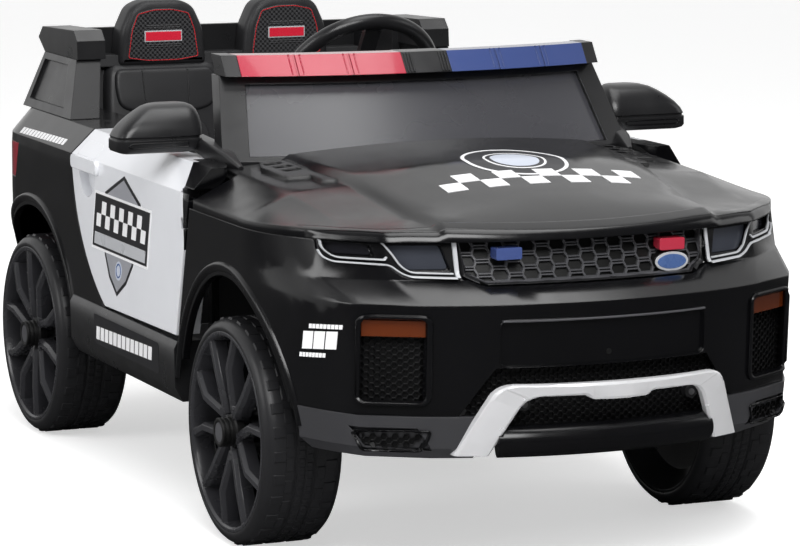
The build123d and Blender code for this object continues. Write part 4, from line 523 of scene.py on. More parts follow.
def honeycomb(shape, region, pitch, cell, top, floor):
    """Hexagon cells with bevelled mouths over a region; cell is as in hexagon()."""
    wide, flat, tall = cell
    outer_flat = flat + (pitch[0] / 2 - flat - wide) * WALL_BEVEL
    bevel = (pitch[1] / 2 - tall) * WALL_BEVEL
    rims = ((hexagon(pitch[0] / 2 - outer_flat, outer_flat, pitch[1] / 2), top),
            (hexagon(wide + bevel * 0.6, flat + bevel * 0.3, tall + bevel), top),
            (hexagon(*cell), top - bevel), (hexagon(*(half * CELL_DRAFT for half in cell)), floor))
    for u, v in cell_places(region, pitch):
        rings = [[(u + du, v + dv, level) for du, dv in line] for line, level in rims]
        shape.grid(rings, closed=True)
        shape.cap(rings[-1])
    return shape


@functools.lru_cache(maxsize=None)
def skin_of(*nodes):
    """Search tree over the faces of CAD nodes, in millimetres."""
    verts, faces = [], []
    for node in nodes:
        mesh = frame["nodes"][node].data
        start = len(verts)
        verts.extend(v.co / MM for v in mesh.vertices)
        faces.extend(tuple(start + i for i in p.vertices) for p in mesh.polygons)
    return BVHTree.FromPolygons(verts, faces)


FAR = 900.0                     # rays start this far out


def front_view(u, v, out):
    """Where a (u, v, height) point seen from the front lies in the frame; the next two are alike."""
    return (u, -out, v)


def top_view(u, v, out):
    return (u, v, out)


def side_view(side):
    return lambda u, v, out: (side * out, u, v)


def height_at(view, tree, u, v, reach=0.0):
    """How far out a surface lies; with a reach, at the outermost place around the point."""
    probes = [(0, 0)] + ([(reach, 0), (-reach, 0), (0, reach), (0, -reach)] if reach else [])
    hits = [tree.ray_cast(Vector(view(u + du, v + dv, FAR)), Vector(view(0, 0, -1)))[0] for du, dv in probes]
    return max((hit.dot(Vector(view(0, 0, 1))) for hit in hits if hit), default=None)


def drape(view, shape, tree, reach=0.0):
    """Lays a shape of (u, v, height) points on a surface; missing hits take the nearest found value."""
    found = [height_at(view, tree, u, v, reach) for u, v, _ in shape.verts]
    known = [(p, f) for p, f in zip(shape.verts, found) if f is not None]
    laid = []
    for (u, v, height), base in zip(shape.verts, found):
        if base is None:
            base = min(known, key=lambda k: (k[0][0] - u) ** 2 + (k[0][1] - v) ** 2)[1]
        laid.append(view(u, v, base + height))
    shape.verts = laid
    return shape


drape_front = functools.partial(drape, front_view)
drape_top = functools.partial(drape, top_view)


def dress(node, material, slot):
    """A smooth-shaded copy of a CAD node's mesh stands for it."""
    source = frame["nodes"][node]
    mesh = source.data.copy()
    mesh.name = node + "_skin"
    work = bmesh.new()
    work.from_mesh(mesh)
    bmesh.ops.remove_doubles(work, verts=work.verts, dist=SAME_SKIN_PLACE)
    work.to_mesh(mesh)
    work.free()
    if "custom_normal" in mesh.attributes:
        mesh.attributes.remove(mesh.attributes["custom_normal"])
    piece = finish_mesh(node + "_skin", mesh, material, slot, source["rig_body"], SKIN_ANGLE)
    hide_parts(node)
    return piece


# ---------------------------------------------------------------- camera, lights and stage
CAMERA_AT = (-1.5955, -3.694, 0.8488)
CAMERA_YAW = 23.57
CAMERA_PITCH = -8.74
CAMERA_ROLL = 0.15
CAMERA_LENS = 163.3


def make_camera():
    yaw, pitch, roll = (math.radians(a) for a in (CAMERA_YAW, CAMERA_PITCH, CAMERA_ROLL))
    ahead = Vector((math.sin(yaw) * math.cos(pitch), math.cos(yaw) * math.cos(pitch), math.sin(pitch)))
    right = Vector((math.cos(yaw), -math.sin(yaw), 0))
    above = right.cross(ahead)
    right, above = (right * math.cos(roll) + above * math.sin(roll),
                    above * math.cos(roll) - right * math.sin(roll))
    data = bpy.data.cameras.new("camera")
    data.lens = CAMERA_LENS
    data.sensor_width = 36.0
    data.clip_end = 50.0
    camera = bpy.data.objects.new("camera", data)
    camera.matrix_world = Matrix.Translation(CAMERA_AT) @ Matrix((right, above, -ahead)).transposed().to_4x4()
    bpy.context.scene.collection.objects.link(camera)
    bpy.context.scene.camera = camera


# name, place, aim, size x, size y, power
LIGHTS = (
    ("key", (-0.62, -2.0, 1.95), (0.0, -0.2, 0.3), 1.5, 1.1, 46.0),
    ("side", (-2.6, -0.3, 1.5), (0.0, 0.0, 0.25), 1.2, 1.2, 22.0),
    ("fill", (2.6, -0.9, 1.5), (0.0, -0.1, 0.25), 1.2, 1.2, 7.0),
    ("top", (0.3, -0.3, 2.8), (0.1, -0.2, 0.2), 2.2, 1.5, 34.0),
)
# the room that mirror-like rays see: where its dim back ends and its bright front starts, and both strengths
ROOM = {"From_Min": -0.25, "From_Max": 0.75, "To_Min": 0.06, "To_Max": 0.85}
EVEN_LIGHT = 0.42
FLOOR_RADIUS = 8.0
FLOOR_GLOW = 0.55               # share of white that the floor gives to the camera by itself


def make_lights():
    for name, place, aim, size_x, size_y, power in LIGHTS:
        data = bpy.data.lights.new(name, "AREA")
        data.shape = "RECTANGLE"
        data.size, data.size_y, data.energy = size_x, size_y, power
        light = bpy.data.objects.new(name, data)
        light.location = place
        light.rotation_euler = (Vector(aim) - Vector(place)).to_track_quat("-Z", "Y").to_euler()
        bpy.context.scene.collection.objects.link(light)


def make_world():
    """Even grey light; camera rays see white, mirror-like rays a bright backdrop and a dim room."""
    n = Nodes(bpy.data.worlds.new("studio"), "Background")
    bpy.context.scene.world = n.owner
    path = n.add("ShaderNodeLightPath").outputs
    axes = n.add("ShaderNodeSeparateXYZ")
    room = n.add("ShaderNodeMapRange", **ROOM)
    room.interpolation_type = "SMOOTHSTEP"
    shiny = n.add("ShaderNodeMath")
    shiny.operation = "MAXIMUM"
    inner, outer = n.add("ShaderNodeMix"), n.add("ShaderNodeMix")
    inner.inputs[2].default_value, outer.inputs[3].default_value = EVEN_LIGHT, 1.0
    for source, target in (
            (n.add("ShaderNodeTexCoord").outputs["Generated"], axes.inputs["Vector"]),
            (axes.outputs["Y"], room.inputs["Value"]),
            (path["Is Glossy Ray"], shiny.inputs[0]), (path["Is Transmission Ray"], shiny.inputs[1]),
            (shiny.outputs[0], inner.inputs["Factor"]), (room.outputs["Result"], inner.inputs[3]),
            (path["Is Camera Ray"], outer.inputs["Factor"]), (inner.outputs[0], outer.inputs[2]),
            (outer.outputs[0], n.shader.inputs["Strength"])):
        n.link(source, target)
    n.set(Color=(1.0, 1.0, 1.0, 1.0))


def make_floor():
    """Pale floor that the camera sees as white with the car's shadow on it."""
    mesh = bpy.data.meshes.new("floor")
    work = bmesh.new()
    bmesh.ops.create_circle(work, cap_ends=True, segments=96, radius=FLOOR_RADIUS)
    work.to_mesh(mesh)
    work.free()
    floor = bpy.data.objects.new("floor", mesh)
    bpy.context.scene.collection.objects.link(floor)
    n = material_nodes("floor_pale")
    path = n.add("ShaderNodeLightPath").outputs
    # mirror-like rays see the floor nearly black: painted shade in the car's reflections of the floor
    n.colour(path["Is Glossy Ray"], (0.84, 0.84, 0.84), (0.03, 0.03, 0.03))
    n.link(n.ramp(path["Is Camera Ray"], 0.0, FLOOR_GLOW, 0.0, 1.0), n.shader.inputs["Emission Strength"])
    n.set(Roughness=0.65, Specular_IOR_Level=0.2, Emission_Color=(1.0, 1.0, 1.0, 1.0))
    n.normal(n.noise(60.0), 0.02, 0.0002)
    mesh.materials.append(n.owner)


# ---------------------------------------------------------------- body skins
SKINS = (
    # node, material and slot
    ("front_body", GLOSS), ("hood", ("hood_black", "body_black")), ("rear_body", GLOSS), ("tub", TUB),
    ("windscreen_frame", TRIM), ("windscreen", ("smoked", "smoked_glass")), ("light_bar_base", TRIM),
    ("red_lens", RED), ("blue_lens", BLUE), ("dashboard", TUB), ("steering_wheel", TRIM),
    ("steering_shaft", STEEL), ("door_hinges", TRIM), ("rear_pillars", TRIM), ("spoiler", TRIM),
    ("seat", SEAT), ("front_lip", ("lip_black", "trim_black")), ("tube_bar", GLOSS),
    ("headlamps", ("gloss_black", "lamp_clear")), ("grille_lamp_blue", BLUE), ("grille_lamp_red", RED),
    ("fog_lamps", ("amber_lens", "amber_lens")), ("tail_lamps", ("tail_red", "red_lens")),
    ("rear_valance", TRIM), ("front_axle", STEEL), ("knuckle_right", STEEL), ("knuckle_left", STEEL),
    ("tie_rod", STEEL), ("rear_axle", STEEL), ("gearboxes", ("deep_black", "tub_black")),
    ("battery", ("battery_grey", "battery_grey")),
)
DOOR_INNER_X = 262.0            # beside the mirror's foot the door is black further in than this
DOOR_CORNER_Y = -84.0
DOOR_TIP_Y = -134.0             # the door's front tongue is black
DOOR_SLANT = ((-134.0, 352.0), (23.0, -24.0))   # a (y, z) place on the slanted colour edge and its normal
CUP_ROOF = ((162, 352.5), (224, 352.5), (222, 369), (164, 369))
SHOULDER_AT = (285.0, 357.0)    # an (x, z) place on the door's shoulder, which rises inwards
SHOULDER_SLOPE = 1.19           # rise for each mm inwards
HANDLE_BOX = (143.0, 231.0, 336.5, 352.5)
HANDLE_X = 291.5
HANDLE_SINK = 0.6


def make_skins():
    for node, look in SKINS:
        dress(node, *look)
    for name, side in SIDES:
        make_door(name, side)


def make_door(name, side):
    """White door whose front upper corner, beside the mirror's foot, is black."""
    piece = dress("door_" + name, *DOOR)
    mesh = piece.data
    mesh.materials.append(MATERIALS["gloss_black"])
    work = bmesh.new()
    work.from_mesh(mesh)
    inner, corner, tip = side * DOOR_INNER_X * MM, DOOR_CORNER_Y * MM, DOOR_TIP_Y * MM
    (slant_y, slant_z), (normal_y, normal_z) = DOOR_SLANT
    cuts = (((inner, 0, 0), (1, 0, 0)), ((0, corner, 0), (0, 1, 0)), ((0, tip, 0), (0, 1, 0)),
            ((0, slant_y * MM, slant_z * MM), (0, normal_y, normal_z)))
    for place, normal in cuts:
        bmesh.ops.bisect_plane(work, geom=work.verts[:] + work.edges[:] + work.faces[:], plane_co=place,
                               plane_no=Vector(normal).normalized())
    for face in work.faces:
        middle = face.calc_center_median()
        slant = (middle.y - slant_y * MM) * normal_y + (middle.z - slant_z * MM) * normal_z
        at_foot = abs(middle.x) < abs(inner) and middle.y < corner
        face.material_index = int(middle.y < tip or slant < 0 or at_foot)
    work.to_mesh(mesh)
    work.free()
    mesh.set_sharp_from_angle(angle=math.radians(SKIN_ANGLE))
    body = frame["nodes"]["door_" + name]["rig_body"]
    # the finger cup's open roof, closed along the shoulder's slope
    patch = sheet(Shape(), rounded(CUP_ROOF, 5.0, 3), 0.5, 6.0, -0.8)
    at_x, at_z = SHOULDER_AT
    patch.moved(lambda p: (side * (at_x - (p[1] - at_z) / SHOULDER_SLOPE + p[2]), p[0], p[1]))
    patch.piece(f"door_cup_roof_{name}", *DOOR, body, 50.0)
    # rounded pull handle over the finger cup
    handle = pillow(Shape(), box_line(*HANDLE_BOX, 7.0), -6.0, 3.4, 3.0)
    handle.moved(lambda p: (side * (HANDLE_X + p[2] - HANDLE_SINK), p[0], p[1]))
    handle.piece(f"door_handle_{name}", *DOOR, body, 50.0)


# ---------------------------------------------------------------- wheels
def wheel_place(side, axle_y):
    """From wheel coordinates (radius, angle, outward from the face) to millimetres in the frame."""
    def place(point):
        radius, angle, out = point
        return (side * (WHEEL_FACE_X + out), axle_y + radius * math.cos(angle),
                AXLE_Z + radius * math.sin(angle))
    return place


# inboard of the outer face, radius
TYRE_HALF = ((0.6, 104.2), (0.0, 106.0), (0.5, 109.0), (2.2, 112.3), (5.2, 115.0), (9.5, 116.7),
             (13.5, 117.3), (31.5, 117.3), (32.0, 116.3), (34.0, 116.3), (34.5, 117.6),
             (42.4, 117.6), (42.7, 117.0))
TYRE_STEPS = 120
LUGS = 30
# the outer and inner halves of a stepped lug: inboard from and to, start and length as shares of the pitch
LUG_HALVES = ((8.5, 22.0, 0.0, 0.46), (21.0, 30.5, 0.26, 0.62))
LUG_BASE, LUG_TOP = 115.5, 118.4
SMALL_BLOCKS = 84
# the two rows of small blocks: inboard from and to, shift as a share of the pitch
SMALL_ROWS = ((35.2, 41.8, 0.0), (44.2, 50.8, 0.5))
SMALL_BASE = 117.0
SMALL_SHARE = 0.62


def lug(shape, inboard, angles, base, top, draft=0.8, steps=3):
    """A block on the tread between two distances inboard and two angles."""
    (near, far), (start, end) = inboard, angles
    slope = draft / TYRE_RADIUS

    def row(radius, inset):
        a0, a1 = start + inset * slope, end - inset * slope
        n, f = near + inset * draft, far - inset * draft
        path = [(n, a0 + (a1 - a0) * k / steps) for k in range(steps + 1)]
        path += [(f, a1 - (a1 - a0) * k / steps) for k in range(steps + 1)]
        return [(radius, a, -i) for i, a in path]

    start_at = shape.grid([row(base, 0.0), row(top, 1.0)], closed=True)
    count = 2 * (steps + 1)
    for k in range(steps):
        a, b = start_at + count + k, start_at + 2 * count - 1 - k
        shape.faces.append((a, a + 1, b - 1, b))


def make_tyre(end, name, place, body):
    """Turned tyre with stepped lugs on its shoulders and small blocks between them."""
    shape = Shape()
    profile = list(TYRE_HALF) + [(TYRE_WIDTH - inboard, radius) for inboard, radius in reversed(TYRE_HALF)]
    shape.grid([[(radius, math.tau * step / TYRE_STEPS, -inboard) for inboard, radius in profile]
                for step in range(TYRE_STEPS + 1)])
    pitch = math.tau / LUGS
    for step in range(LUGS):
        for other_side in (False, True):
            turn = step * pitch + (pitch * 0.5 if other_side else 0.0)
            for near, far, start, length in LUG_HALVES:
                inboard = (TYRE_WIDTH - far, TYRE_WIDTH - near) if other_side else (near, far)
                angles = (turn + start * pitch, turn + (start + length) * pitch)
                lug(shape, inboard, angles, LUG_BASE, LUG_TOP)
    small = math.tau / SMALL_BLOCKS
    for step in range(SMALL_BLOCKS):
        for near, far, shift in SMALL_ROWS:
            angle = (step + shift) * small
            lug(shape, (near, far), (angle, angle + small * SMALL_SHARE), SMALL_BASE, LUG_TOP, 0.5, 1)
    piece = shape.moved(place).piece(f"tread_{end}_{name}", "tyre_black", "tyre_black", body, 40.0)
    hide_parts(f"tyre_{end}_{name}")


SPOKE_UNITS = 5
SPOKE_TURN = {"front": -8.5, "rear": 42.0}      # degrees from the forward horizontal
STEM_RADII = (12.0, 30.0)
FORK_LINE = ((21.0, 5.0), (66.0, 21.5), (99.5, 16.8))  # radius and degrees from the spoke's middle
SPOKE_HALF = 5.2
SPOKE_FLAT = SPOKE_HALF - 2.4
# across the spoke, below its top
SPOKE_SECTION = ((SPOKE_HALF, 17.0), (SPOKE_HALF, 4.0), (SPOKE_FLAT, 0.0), (-SPOKE_FLAT, 0.0),
                 (-SPOKE_HALF, 4.0), (-SPOKE_HALF, 17.0))
# turned shapes: radius, outward from the wheel's face
RIM_ROWS = ((104.2, -1.0), (103.6, -0.2), (100.5, -0.2), (98.6, -2.5), (97.5, -8.0), (96.0, -34.0),
            (92.0, -38.0), (104.0, -38.0), (104.2, -1.0))
CAP_ROWS = ((18.0, -16.0), (18.0, -8.0), (16.5, -6.5), (15.2, -6.5), (15.2, -3.0), (14.2, -2.4), (14.2, -1.0),
            (15.2, -0.4), (15.2, 2.4), (14.2, 3.0), (14.2, 4.0), (15.2, 4.6), (15.2, 6.4), (14.4, 7.2),
            (11.6, 7.2), (11.0, 6.4), (0.0, 6.4))
FACE_ROWS = ((10.4, 6.3), (10.2, 6.7), (8.0, 6.8), (0.0, 6.9))
DISH_ROWS = ((17.0, -22.0), (22.0, -24.0), (30.0, -34.0), (88.0, -37.0), (97.0, -35.0))
BACK_ROWS = ((105.0, -84.0), (101.0, -85.0), (97.0, -80.0), (80.0, -62.0), (40.0, -58.0), (26.0, -60.0),
             (24.0, -76.0), (12.0, -76.0))
# ribs and blocks in the dish: how many or between which radii, and how far they reach
DISH_FOOT = -37.0
RIBS, RIB_ENDS, RIB_TOP, RIB_HALF = 20, (32.0, 86.0), -27.0, 1.6
BLOCKS, BLOCK_TOP, BLOCK_ANGLE = ((60.0, 78.0), (82.0, 94.0)), -18.0, 10.0


def ring(shape, rows, steps=72):
    """A turned shape from (radius, outward) rows."""
    turned = [[(radius, math.tau * k / steps, out) for radius, out in rows] for k in range(steps)]
    shape.grid(turned + [turned[0]])
    return shape


def polar(radius, degrees):
    return (radius * math.cos(math.radians(degrees)), radius * math.sin(math.radians(degrees)))


def to_polar(u, v):
    return math.hypot(u, v), math.atan2(v, u)


def spoke_middles(end):
    return [180.0 - SPOKE_TURN[end] + unit * 360.0 / SPOKE_UNITS for unit in range(SPOKE_UNITS)]


def spoke_leg(shape, line, tops):
    """A leg with a flat raised face and bevelled flanks, from flat points to wheel coordinates."""
    sides = [(offset_line(line, across), drop) for across, drop in SPOKE_SECTION]
    shape.tube([[(*to_polar(*side[i]), top - drop) for side, drop in sides] for i, top in enumerate(tops)])


def make_rim(end, name, place, body):
    """Outer lip, barrel and forked spokes, then the hub cap and its pale face."""
    shape = ring(Shape(), RIM_ROWS)
    for middle in spoke_middles(end):
        spoke_leg(shape, [polar(radius, middle) for radius in STEM_RADII], (-7.0, -3.5))
        for way in (-1, 1):
            line = [polar(radius, middle + way * angle) for radius, angle in FORK_LINE]
            spoke_leg(shape, line, (-5.0, 0.4, -1.8))
    piece = shape.moved(place).piece(f"spokes_{end}_{name}", "rim_black", "rim_black", body, 25.0)
    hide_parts(f"rim_{end}_{name}")
    for part, rows, material in (("cap", CAP_ROWS, "deep_black"), ("face", FACE_ROWS, "edge_grey")):
        shape = ring(Shape(), rows, 48).moved(place)
        shape.piece(f"hub_{part}_{end}_{name}", material, "rim_black", body, 25.0)


def make_dish(end, name, place, body):
    """Recessed back of the wheel with its ribs and blocks, and the closed inner face."""
    shape = ring(Shape(), DISH_ROWS)
    section = ((1, DISH_FOOT), (1, RIB_TOP), (-1, RIB_TOP), (-1, DISH_FOOT))
    for index in range(RIBS):
        line = [polar(radius, index * 360.0 / RIBS) for radius in RIB_ENDS]
        across = Vector((-line[1][1], line[1][0])).normalized() * RIB_HALF
        shape.tube([[(*to_polar(u + across.x * way, v + across.y * way), out) for way, out in section]
                    for u, v in line])
    for middle in spoke_middles(end):
        first, last = middle - BLOCK_ANGLE, middle + BLOCK_ANGLE
        for low, high in BLOCKS:
            shape.tube([[(r, math.radians(a), out) for r, a in ((low + draft, first), (high - draft, first),
                                                                (high - draft, last), (low + draft, last))]
                        for out, draft in ((DISH_FOOT, 0.0), (BLOCK_TOP, 1.0))])
    shape.moved(place).piece(f"dish_{end}_{name}", "gloss_black", "rim_black", body, 25.0)
    back = ring(Shape(), BACK_ROWS).moved(place)
    back.piece(f"wheel_back_{end}_{name}", "satin_black", "rim_black", body, 25.0)


def make_wheels():
    for end, axle_y in ENDS:
        for name, side in SIDES:
            for make in (make_tyre, make_rim, make_dish):
                make(end, name, wheel_place(side, axle_y), f"wheel_{end}_{name}")


# ---------------------------------------------------------------- nose
LAMP_LINES = (
    # half width, then the line's (x, z) points on the right, x positive
    (0.8, ((252.5, 338.5), (251.0, 328.6), (243.0, 321.8), (223.0, 321.6), (204.5, 321.9), (202.6, 324.5))),
    (0.8, ((255.0, 328.0), (252.7, 322.0), (245.5, 317.8), (201.4, 317.2), (192.0, 309.2), (183.6, 305.6),
           (141.0, 304.2))),
    (0.8, ((205.5, 338.0), (198.3, 328.5), (191.0, 315.5), (182.3, 309.4), (143.0, 308.0))),
    (2.0, ((139.3, 304.6), (139.3, 338.0))),
)
LAMP_PANES = (
    ("dark_glass", ((247.8, 334.8), (214.6, 334.8), (211.6, 324.4), (241.2, 324.4), (247.3, 330.0))),
    ("slate_glass", ((200.6, 334.8), (152.2, 334.8), (145.6, 311.4), (184.7, 311.4), (194.2, 322.0))),
)
GRILLE_LINE = [(-137, 338), (-132, 306), (-113, 296.5), (113, 296.5), (132, 306), (137, 338)]
GRILLE_REGION = [(-140, 345), (140, 345), (138, 303), (118, 290), (-118, 290), (-138, 303)]
# the grille's face: y at a height z in the middle, how it leans, and how it curves back across
GRILLE_FACE = (-497.7, 332.5, 0.465, 0.00104)
GRILLE_PITCH = (31.5, 13.3)
GRILLE_CELL = (9.0, 6.4, 5.3)   # half width, half flat side, half height
FINE_PITCH = (9.5, 7.2)
FINE_CELL = (2.7, 1.5, 2.8)
FINE_DEPTH = 2.6
BADGE_AT = (91.0, 309.0)
BADGE_HALF = (19.0, 10.0)
BADGE_Y = -503.0
BADGE_TURN = 0.035              # the badge turns back towards its outer end
# name, inset, foot, face, material
BADGE_LAYERS = (("back", -0.8, -6.0, 5.0, "deep_black"), ("ring", 0.0, 4.0, 6.2, "silver"),
                ("face", 2.3, 5.0, 6.5, "badge"))
FOG_BEZEL = box_line(178.0, 239.0, 184.0, 270.0, 9.0)
FOG_REGION = [(176, 182), (240, 182), (240, 252), (176, 252)]
PLATE_LINE = box_line(-112.5, 112.5, 219.5, 266.5, 8.0)
PLATE_LEDGE = [(-111.0, 265.6), (111.0, 265.6)]
PLATE_SCREW = (0.0, 230.5)
INTAKE_REGION = [(-158, 140), (158, 140), (120, 226), (-120, 226)]
LIP_VENT_REGION = [(183, 153.5), (237, 152.5), (230, 141.5), (189, 141.5)]
LIP_VENT_EDGE = [(177, 157.5), (242, 155.5), (234, 136.5), (184, 136.5)]


def mirrored(points, side):
    return [(side * u, v) for u, v in points]


def make_lamps_trim():
    """Bright double outlines and dark panes of the headlamps."""
    tree = skin_of("headlamps", "front_body", "grille")
    for name, side in SIDES:
        lines = Shape()
        for half, line in LAMP_LINES:
            path = dense(rounded(mirrored(line, side), 5.0, 4, False), 4.0)
            lines.join(drape_front(strip(Shape(), path, half, -2.0, 1.4, 0.6), tree, 3.5))
        lines.piece(f"lamp_outline_{name}", "silver", "bright")
        for number, (material, pane) in enumerate(LAMP_PANES, 1):
            shape = sheet(Shape(), rounded(mirrored(pane, side), 4.0, 3), 0.8, 6.0, -0.5)
            drape_front(shape, tree).piece(f"lamp_pane_{number}_{name}", material, "lamp_clear")


def on_grille(shape):
    """Lays a shape of (x, z, height) points on the grille's smooth face."""
    face_y, face_z, lean, curve = GRILLE_FACE
    return shape.moved(lambda p: (p[0], face_y - lean * (face_z - p[1]) + curve * p[0] ** 2 - p[2], p[1]))


def make_grille():
    """Honeycomb grille of raised hexagons, its rim and the blank oval badge."""
    tree = skin_of("grille")
    back = on_grille(sheet(Shape(), GRILLE_REGION, -3.2, 5.0, -6.5))
    piece = back.piece("grille_back", "deep_black", "trim_black", BODY, 20.0)
    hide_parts("grille")
    # hexagon rims in lighter grey: painted highlights along the cells' bevelled edges
    rims = Shape()
    for u, v in cell_places(GRILLE_REGION, GRILLE_PITCH):
        line = [(u + du, v + dv) for du, dv in hexagon(*GRILLE_CELL)]
        strip(rims, line, 0.75, -4.0, 0.4, 0.45, closed=True)
    on_grille(rims).piece("grille_rims", *EDGE, BODY, 20.0)
    rim = strip(Shape(), dense(GRILLE_LINE, 8.0), 2.6, -3.0, 2.4, 1.4)
    drape_front(rim, tree, 5.0).piece("grille_rim", *TRIM)
    # a thin lighter grey line just inside the rim: a painted highlight
    edge = strip(Shape(), dense(offset_line(GRILLE_LINE, 3.0), 8.0), 0.7, -1.0, 1.0, 0.5)
    drape_front(edge, tree, 5.0).piece("grille_edge", *EDGE)
    line = oval(BADGE_AT, *BADGE_HALF, 40)
    for name, inset, low, high, material in BADGE_LAYERS:
        shape = plate(Shape(), offset_line(line, inset, True), low, high, 0.5)
        shape.moved(lambda p: (p[0], BADGE_Y - p[2] + BADGE_TURN * (p[0] - BADGE_AT[0]), p[1]))
        shape.piece(f"badge_{name}", material)


def make_nose_lines():
    """Raised edges round the number-plate panel and the fog recesses, and the panel's screw."""
    tree = skin_of("front_body")
    line = strip(Shape(), dense(PLATE_LINE, 8.0, True), 1.0, -1.0, 0.9, 0.7, closed=True)
    drape_front(line, tree, 3.0).piece("plate_edge", *GLOSS)
    # a lighter grey ledge along the panel's top: a painted highlight
    ledge = strip(Shape(), dense(PLATE_LEDGE, 6.0), 1.1, -1.0, 2.2, 0.9)
    drape_front(ledge, tree, 3.0).piece("plate_ledge", "edge_grey", "body_black")
    for name, side in SIDES:
        bezel = strip(Shape(), dense(mirrored(FOG_BEZEL, side), 6.0, True), 2.6, -2.0, 1.6, 1.5, closed=True)
        drape_front(bezel, tree, 5.0).piece(f"fog_bezel_{name}", *GLOSS)
    screw = annulus(Shape(), PLATE_SCREW, 3.0, 0.0, 0.5)
    drape_front(screw, tree).piece("plate_screw", "deep_black", "body_black")


LIP_HALF = 263.0
LIP_STEP = 4.0
LIP_FOOT_Z = 338.6              # underside of the hood's front edge
LIP_FIND_Z = 345.0              # height at which the hood's front face is found
LIP_TAPER = 26.0                # the lip thins over this length at each end
# how far forward of the hood's front face (or behind it) and how far below its top, in mm
LIP_SECTION = ((-17.0, -0.15), (-10.0, -0.3), (-4.0, -0.1), (-0.5, 0.8), (2.6, 2.8), (5.0, 5.6), (6.6, 9.0),
               (7.0, 12.0))
LIP_OWN_TOP = -3.5              # further back than this, each point takes the hood's own height
LIP_TOP_BACK = 3.0              # the others take the height this far behind the front face
LIP_FOOT_BACK = 2.0


def make_hood_lip():
    """Rounded front edge of the hood."""
    tree = skin_of("hood")
    rows = []
    count = round(2 * LIP_HALF / LIP_STEP)
    for k in range(count + 1):
        x = -LIP_HALF + k * 2 * LIP_HALF / count
        out = height_at(front_view, tree, x, LIP_FIND_Z)
        if out is None:
            continue
        front = -out
        full = min(1.0, (LIP_HALF - abs(x)) / LIP_TAPER) ** 0.5
        top = height_at(top_view, tree, x, front + LIP_TOP_BACK)
        row = []
        for ahead, below in LIP_SECTION:
            y = front - ahead * (full if ahead > 0 else 1.0)
            over = height_at(top_view, tree, x, y) if ahead < LIP_OWN_TOP else top
            row.append((x, y, max((over or top) - below, LIP_FOOT_Z)))
        row.append((x, front - LIP_SECTION[-1][0] * full, LIP_FOOT_Z))
        row.append((x, front + LIP_FOOT_BACK, LIP_FOOT_Z))
        rows.append(row)
    Shape().tube(rows).piece("hood_lip", *GLOSS, BODY, 60.0)


def make_meshes():
    """Fine honeycomb behind the intake, in the fog recesses and in the lower lip."""
    shape = honeycomb(Shape(), INTAKE_REGION, FINE_PITCH, FINE_CELL, 0.0, -FINE_DEPTH)
    shape = drape_front(shape, skin_of("intake_mesh"))
    piece = shape.piece("intake_cells", "mesh_black", "trim_black", BODY, 20.0)
    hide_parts("intake_mesh")
    for node, region, high, floor in (("fog_meshes", FOG_REGION, 0.0, -FINE_DEPTH),
                                      ("front_lip", LIP_VENT_REGION, 2.4, 0.4)):
        both = Shape()
        for name, side in SIDES:
            local = honeycomb(Shape(), mirrored(region, side), FINE_PITCH, FINE_CELL, high, floor)
            both.join(drape_front(local, skin_of(node)))
        piece = both.piece(f"{node}_cells", "mesh_black", "trim_black", BODY, 20.0)
        if node == "fog_meshes":
            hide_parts(node)
    for name, side in SIDES:
        line = dense(rounded(mirrored(LIP_VENT_EDGE, side), 4.0, 3), 4.0, True)
        edge = drape_front(strip(Shape(), line, 1.3, -3.0, 0.9, 0.8, closed=True), skin_of("front_lip"), 3.5)
        edge.piece(f"lip_vent_edge_{name}", "gloss_black", "trim_black")


TRIM_OUTER = ((-156, 133), (-122, 206), (-36, 206), (-30, 206), (30, 206), (36, 206), (122, 206), (156, 133))
TRIM_INNER = ((-124, 133), (-95, 194), (-36, 194), (-30, 189), (30, 189), (36, 194), (95, 194), (124, 133))
BRACKETS = (("right", (-90.0, 183.0)), ("left", (94.0, 183.0)))
BRACKET_Y = -541.0
# name, radius, face, foot, material and slot
BRACKET_PARTS = (("boss", 6.5, 7.0, -2.0, TRIM), ("screw", 3.2, 8.2, 6.0, STEEL))


def make_trim():
    """Bright lower frame, a rounded inverted U with a step in its lower edge, and the bar's two brackets."""
    outer, inner = (split(rounded(line, 16.0, 5, False), 3) for line in (TRIM_OUTER, TRIM_INNER))
    shape = drape_front(between(Shape(), outer, inner, -11.0, 0.0, 2.6), skin_of("bright_trim"))
    piece = shape.piece("bright_frame", "chrome", "bright", BODY, 30.0)
    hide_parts("bright_trim")
    for name, place in BRACKETS:
        for part, radius, high, low, look in BRACKET_PARTS:
            shape = annulus(Shape(), place, radius, 0.0, high, low)
            shape.moved(lambda p: (p[0], BRACKET_Y - p[2], p[1])).piece(f"bracket_{part}_{name}", *look)


# ---------------------------------------------------------------- arches, hood and graphics
ARCHES = (("front", FRONT_AXLE_Y, 143.0, 162.0), ("rear", REAR_AXLE_Y, 146.0, 154.0))
ARCH_GROW = 7.5                 # from the opening's edge to the middle of its lip
ARCH_END_Z = 150.0
ARCH_STEPS = 48
# across the lip, outward
ARCH_SECTION = ((-7.0, -1.0), (-5.5, 2.2), (-3.0, 3.0), (-0.5, 2.6), (2.5, 0.8), (4.0, -0.6))


def make_arch_lips():
    """Raised lips round the wheel openings."""
    tree = skin_of("front_body", "rear_body", "front_lip")
    for end, axle_y, half_length, height in ARCHES:
        length, height = half_length + ARCH_GROW, height + ARCH_GROW
        start = math.degrees(math.asin((ARCH_END_Z - AXLE_Z) / height))
        turns = [math.radians(start + (180.0 - 2 * start) * k / ARCH_STEPS) for k in range(ARCH_STEPS + 1)]
        line = [(axle_y + length * math.cos(turn), AXLE_Z + height * math.sin(turn)) for turn in turns]
        for name, side in SIDES:
            shape = Shape().tube(swept(line, ARCH_SECTION))
            drape(side_view(side), shape, tree).piece(f"arch_lip_{end}_{name}", *GLOSS)


HOOD_RING = (14.0, -302.0)
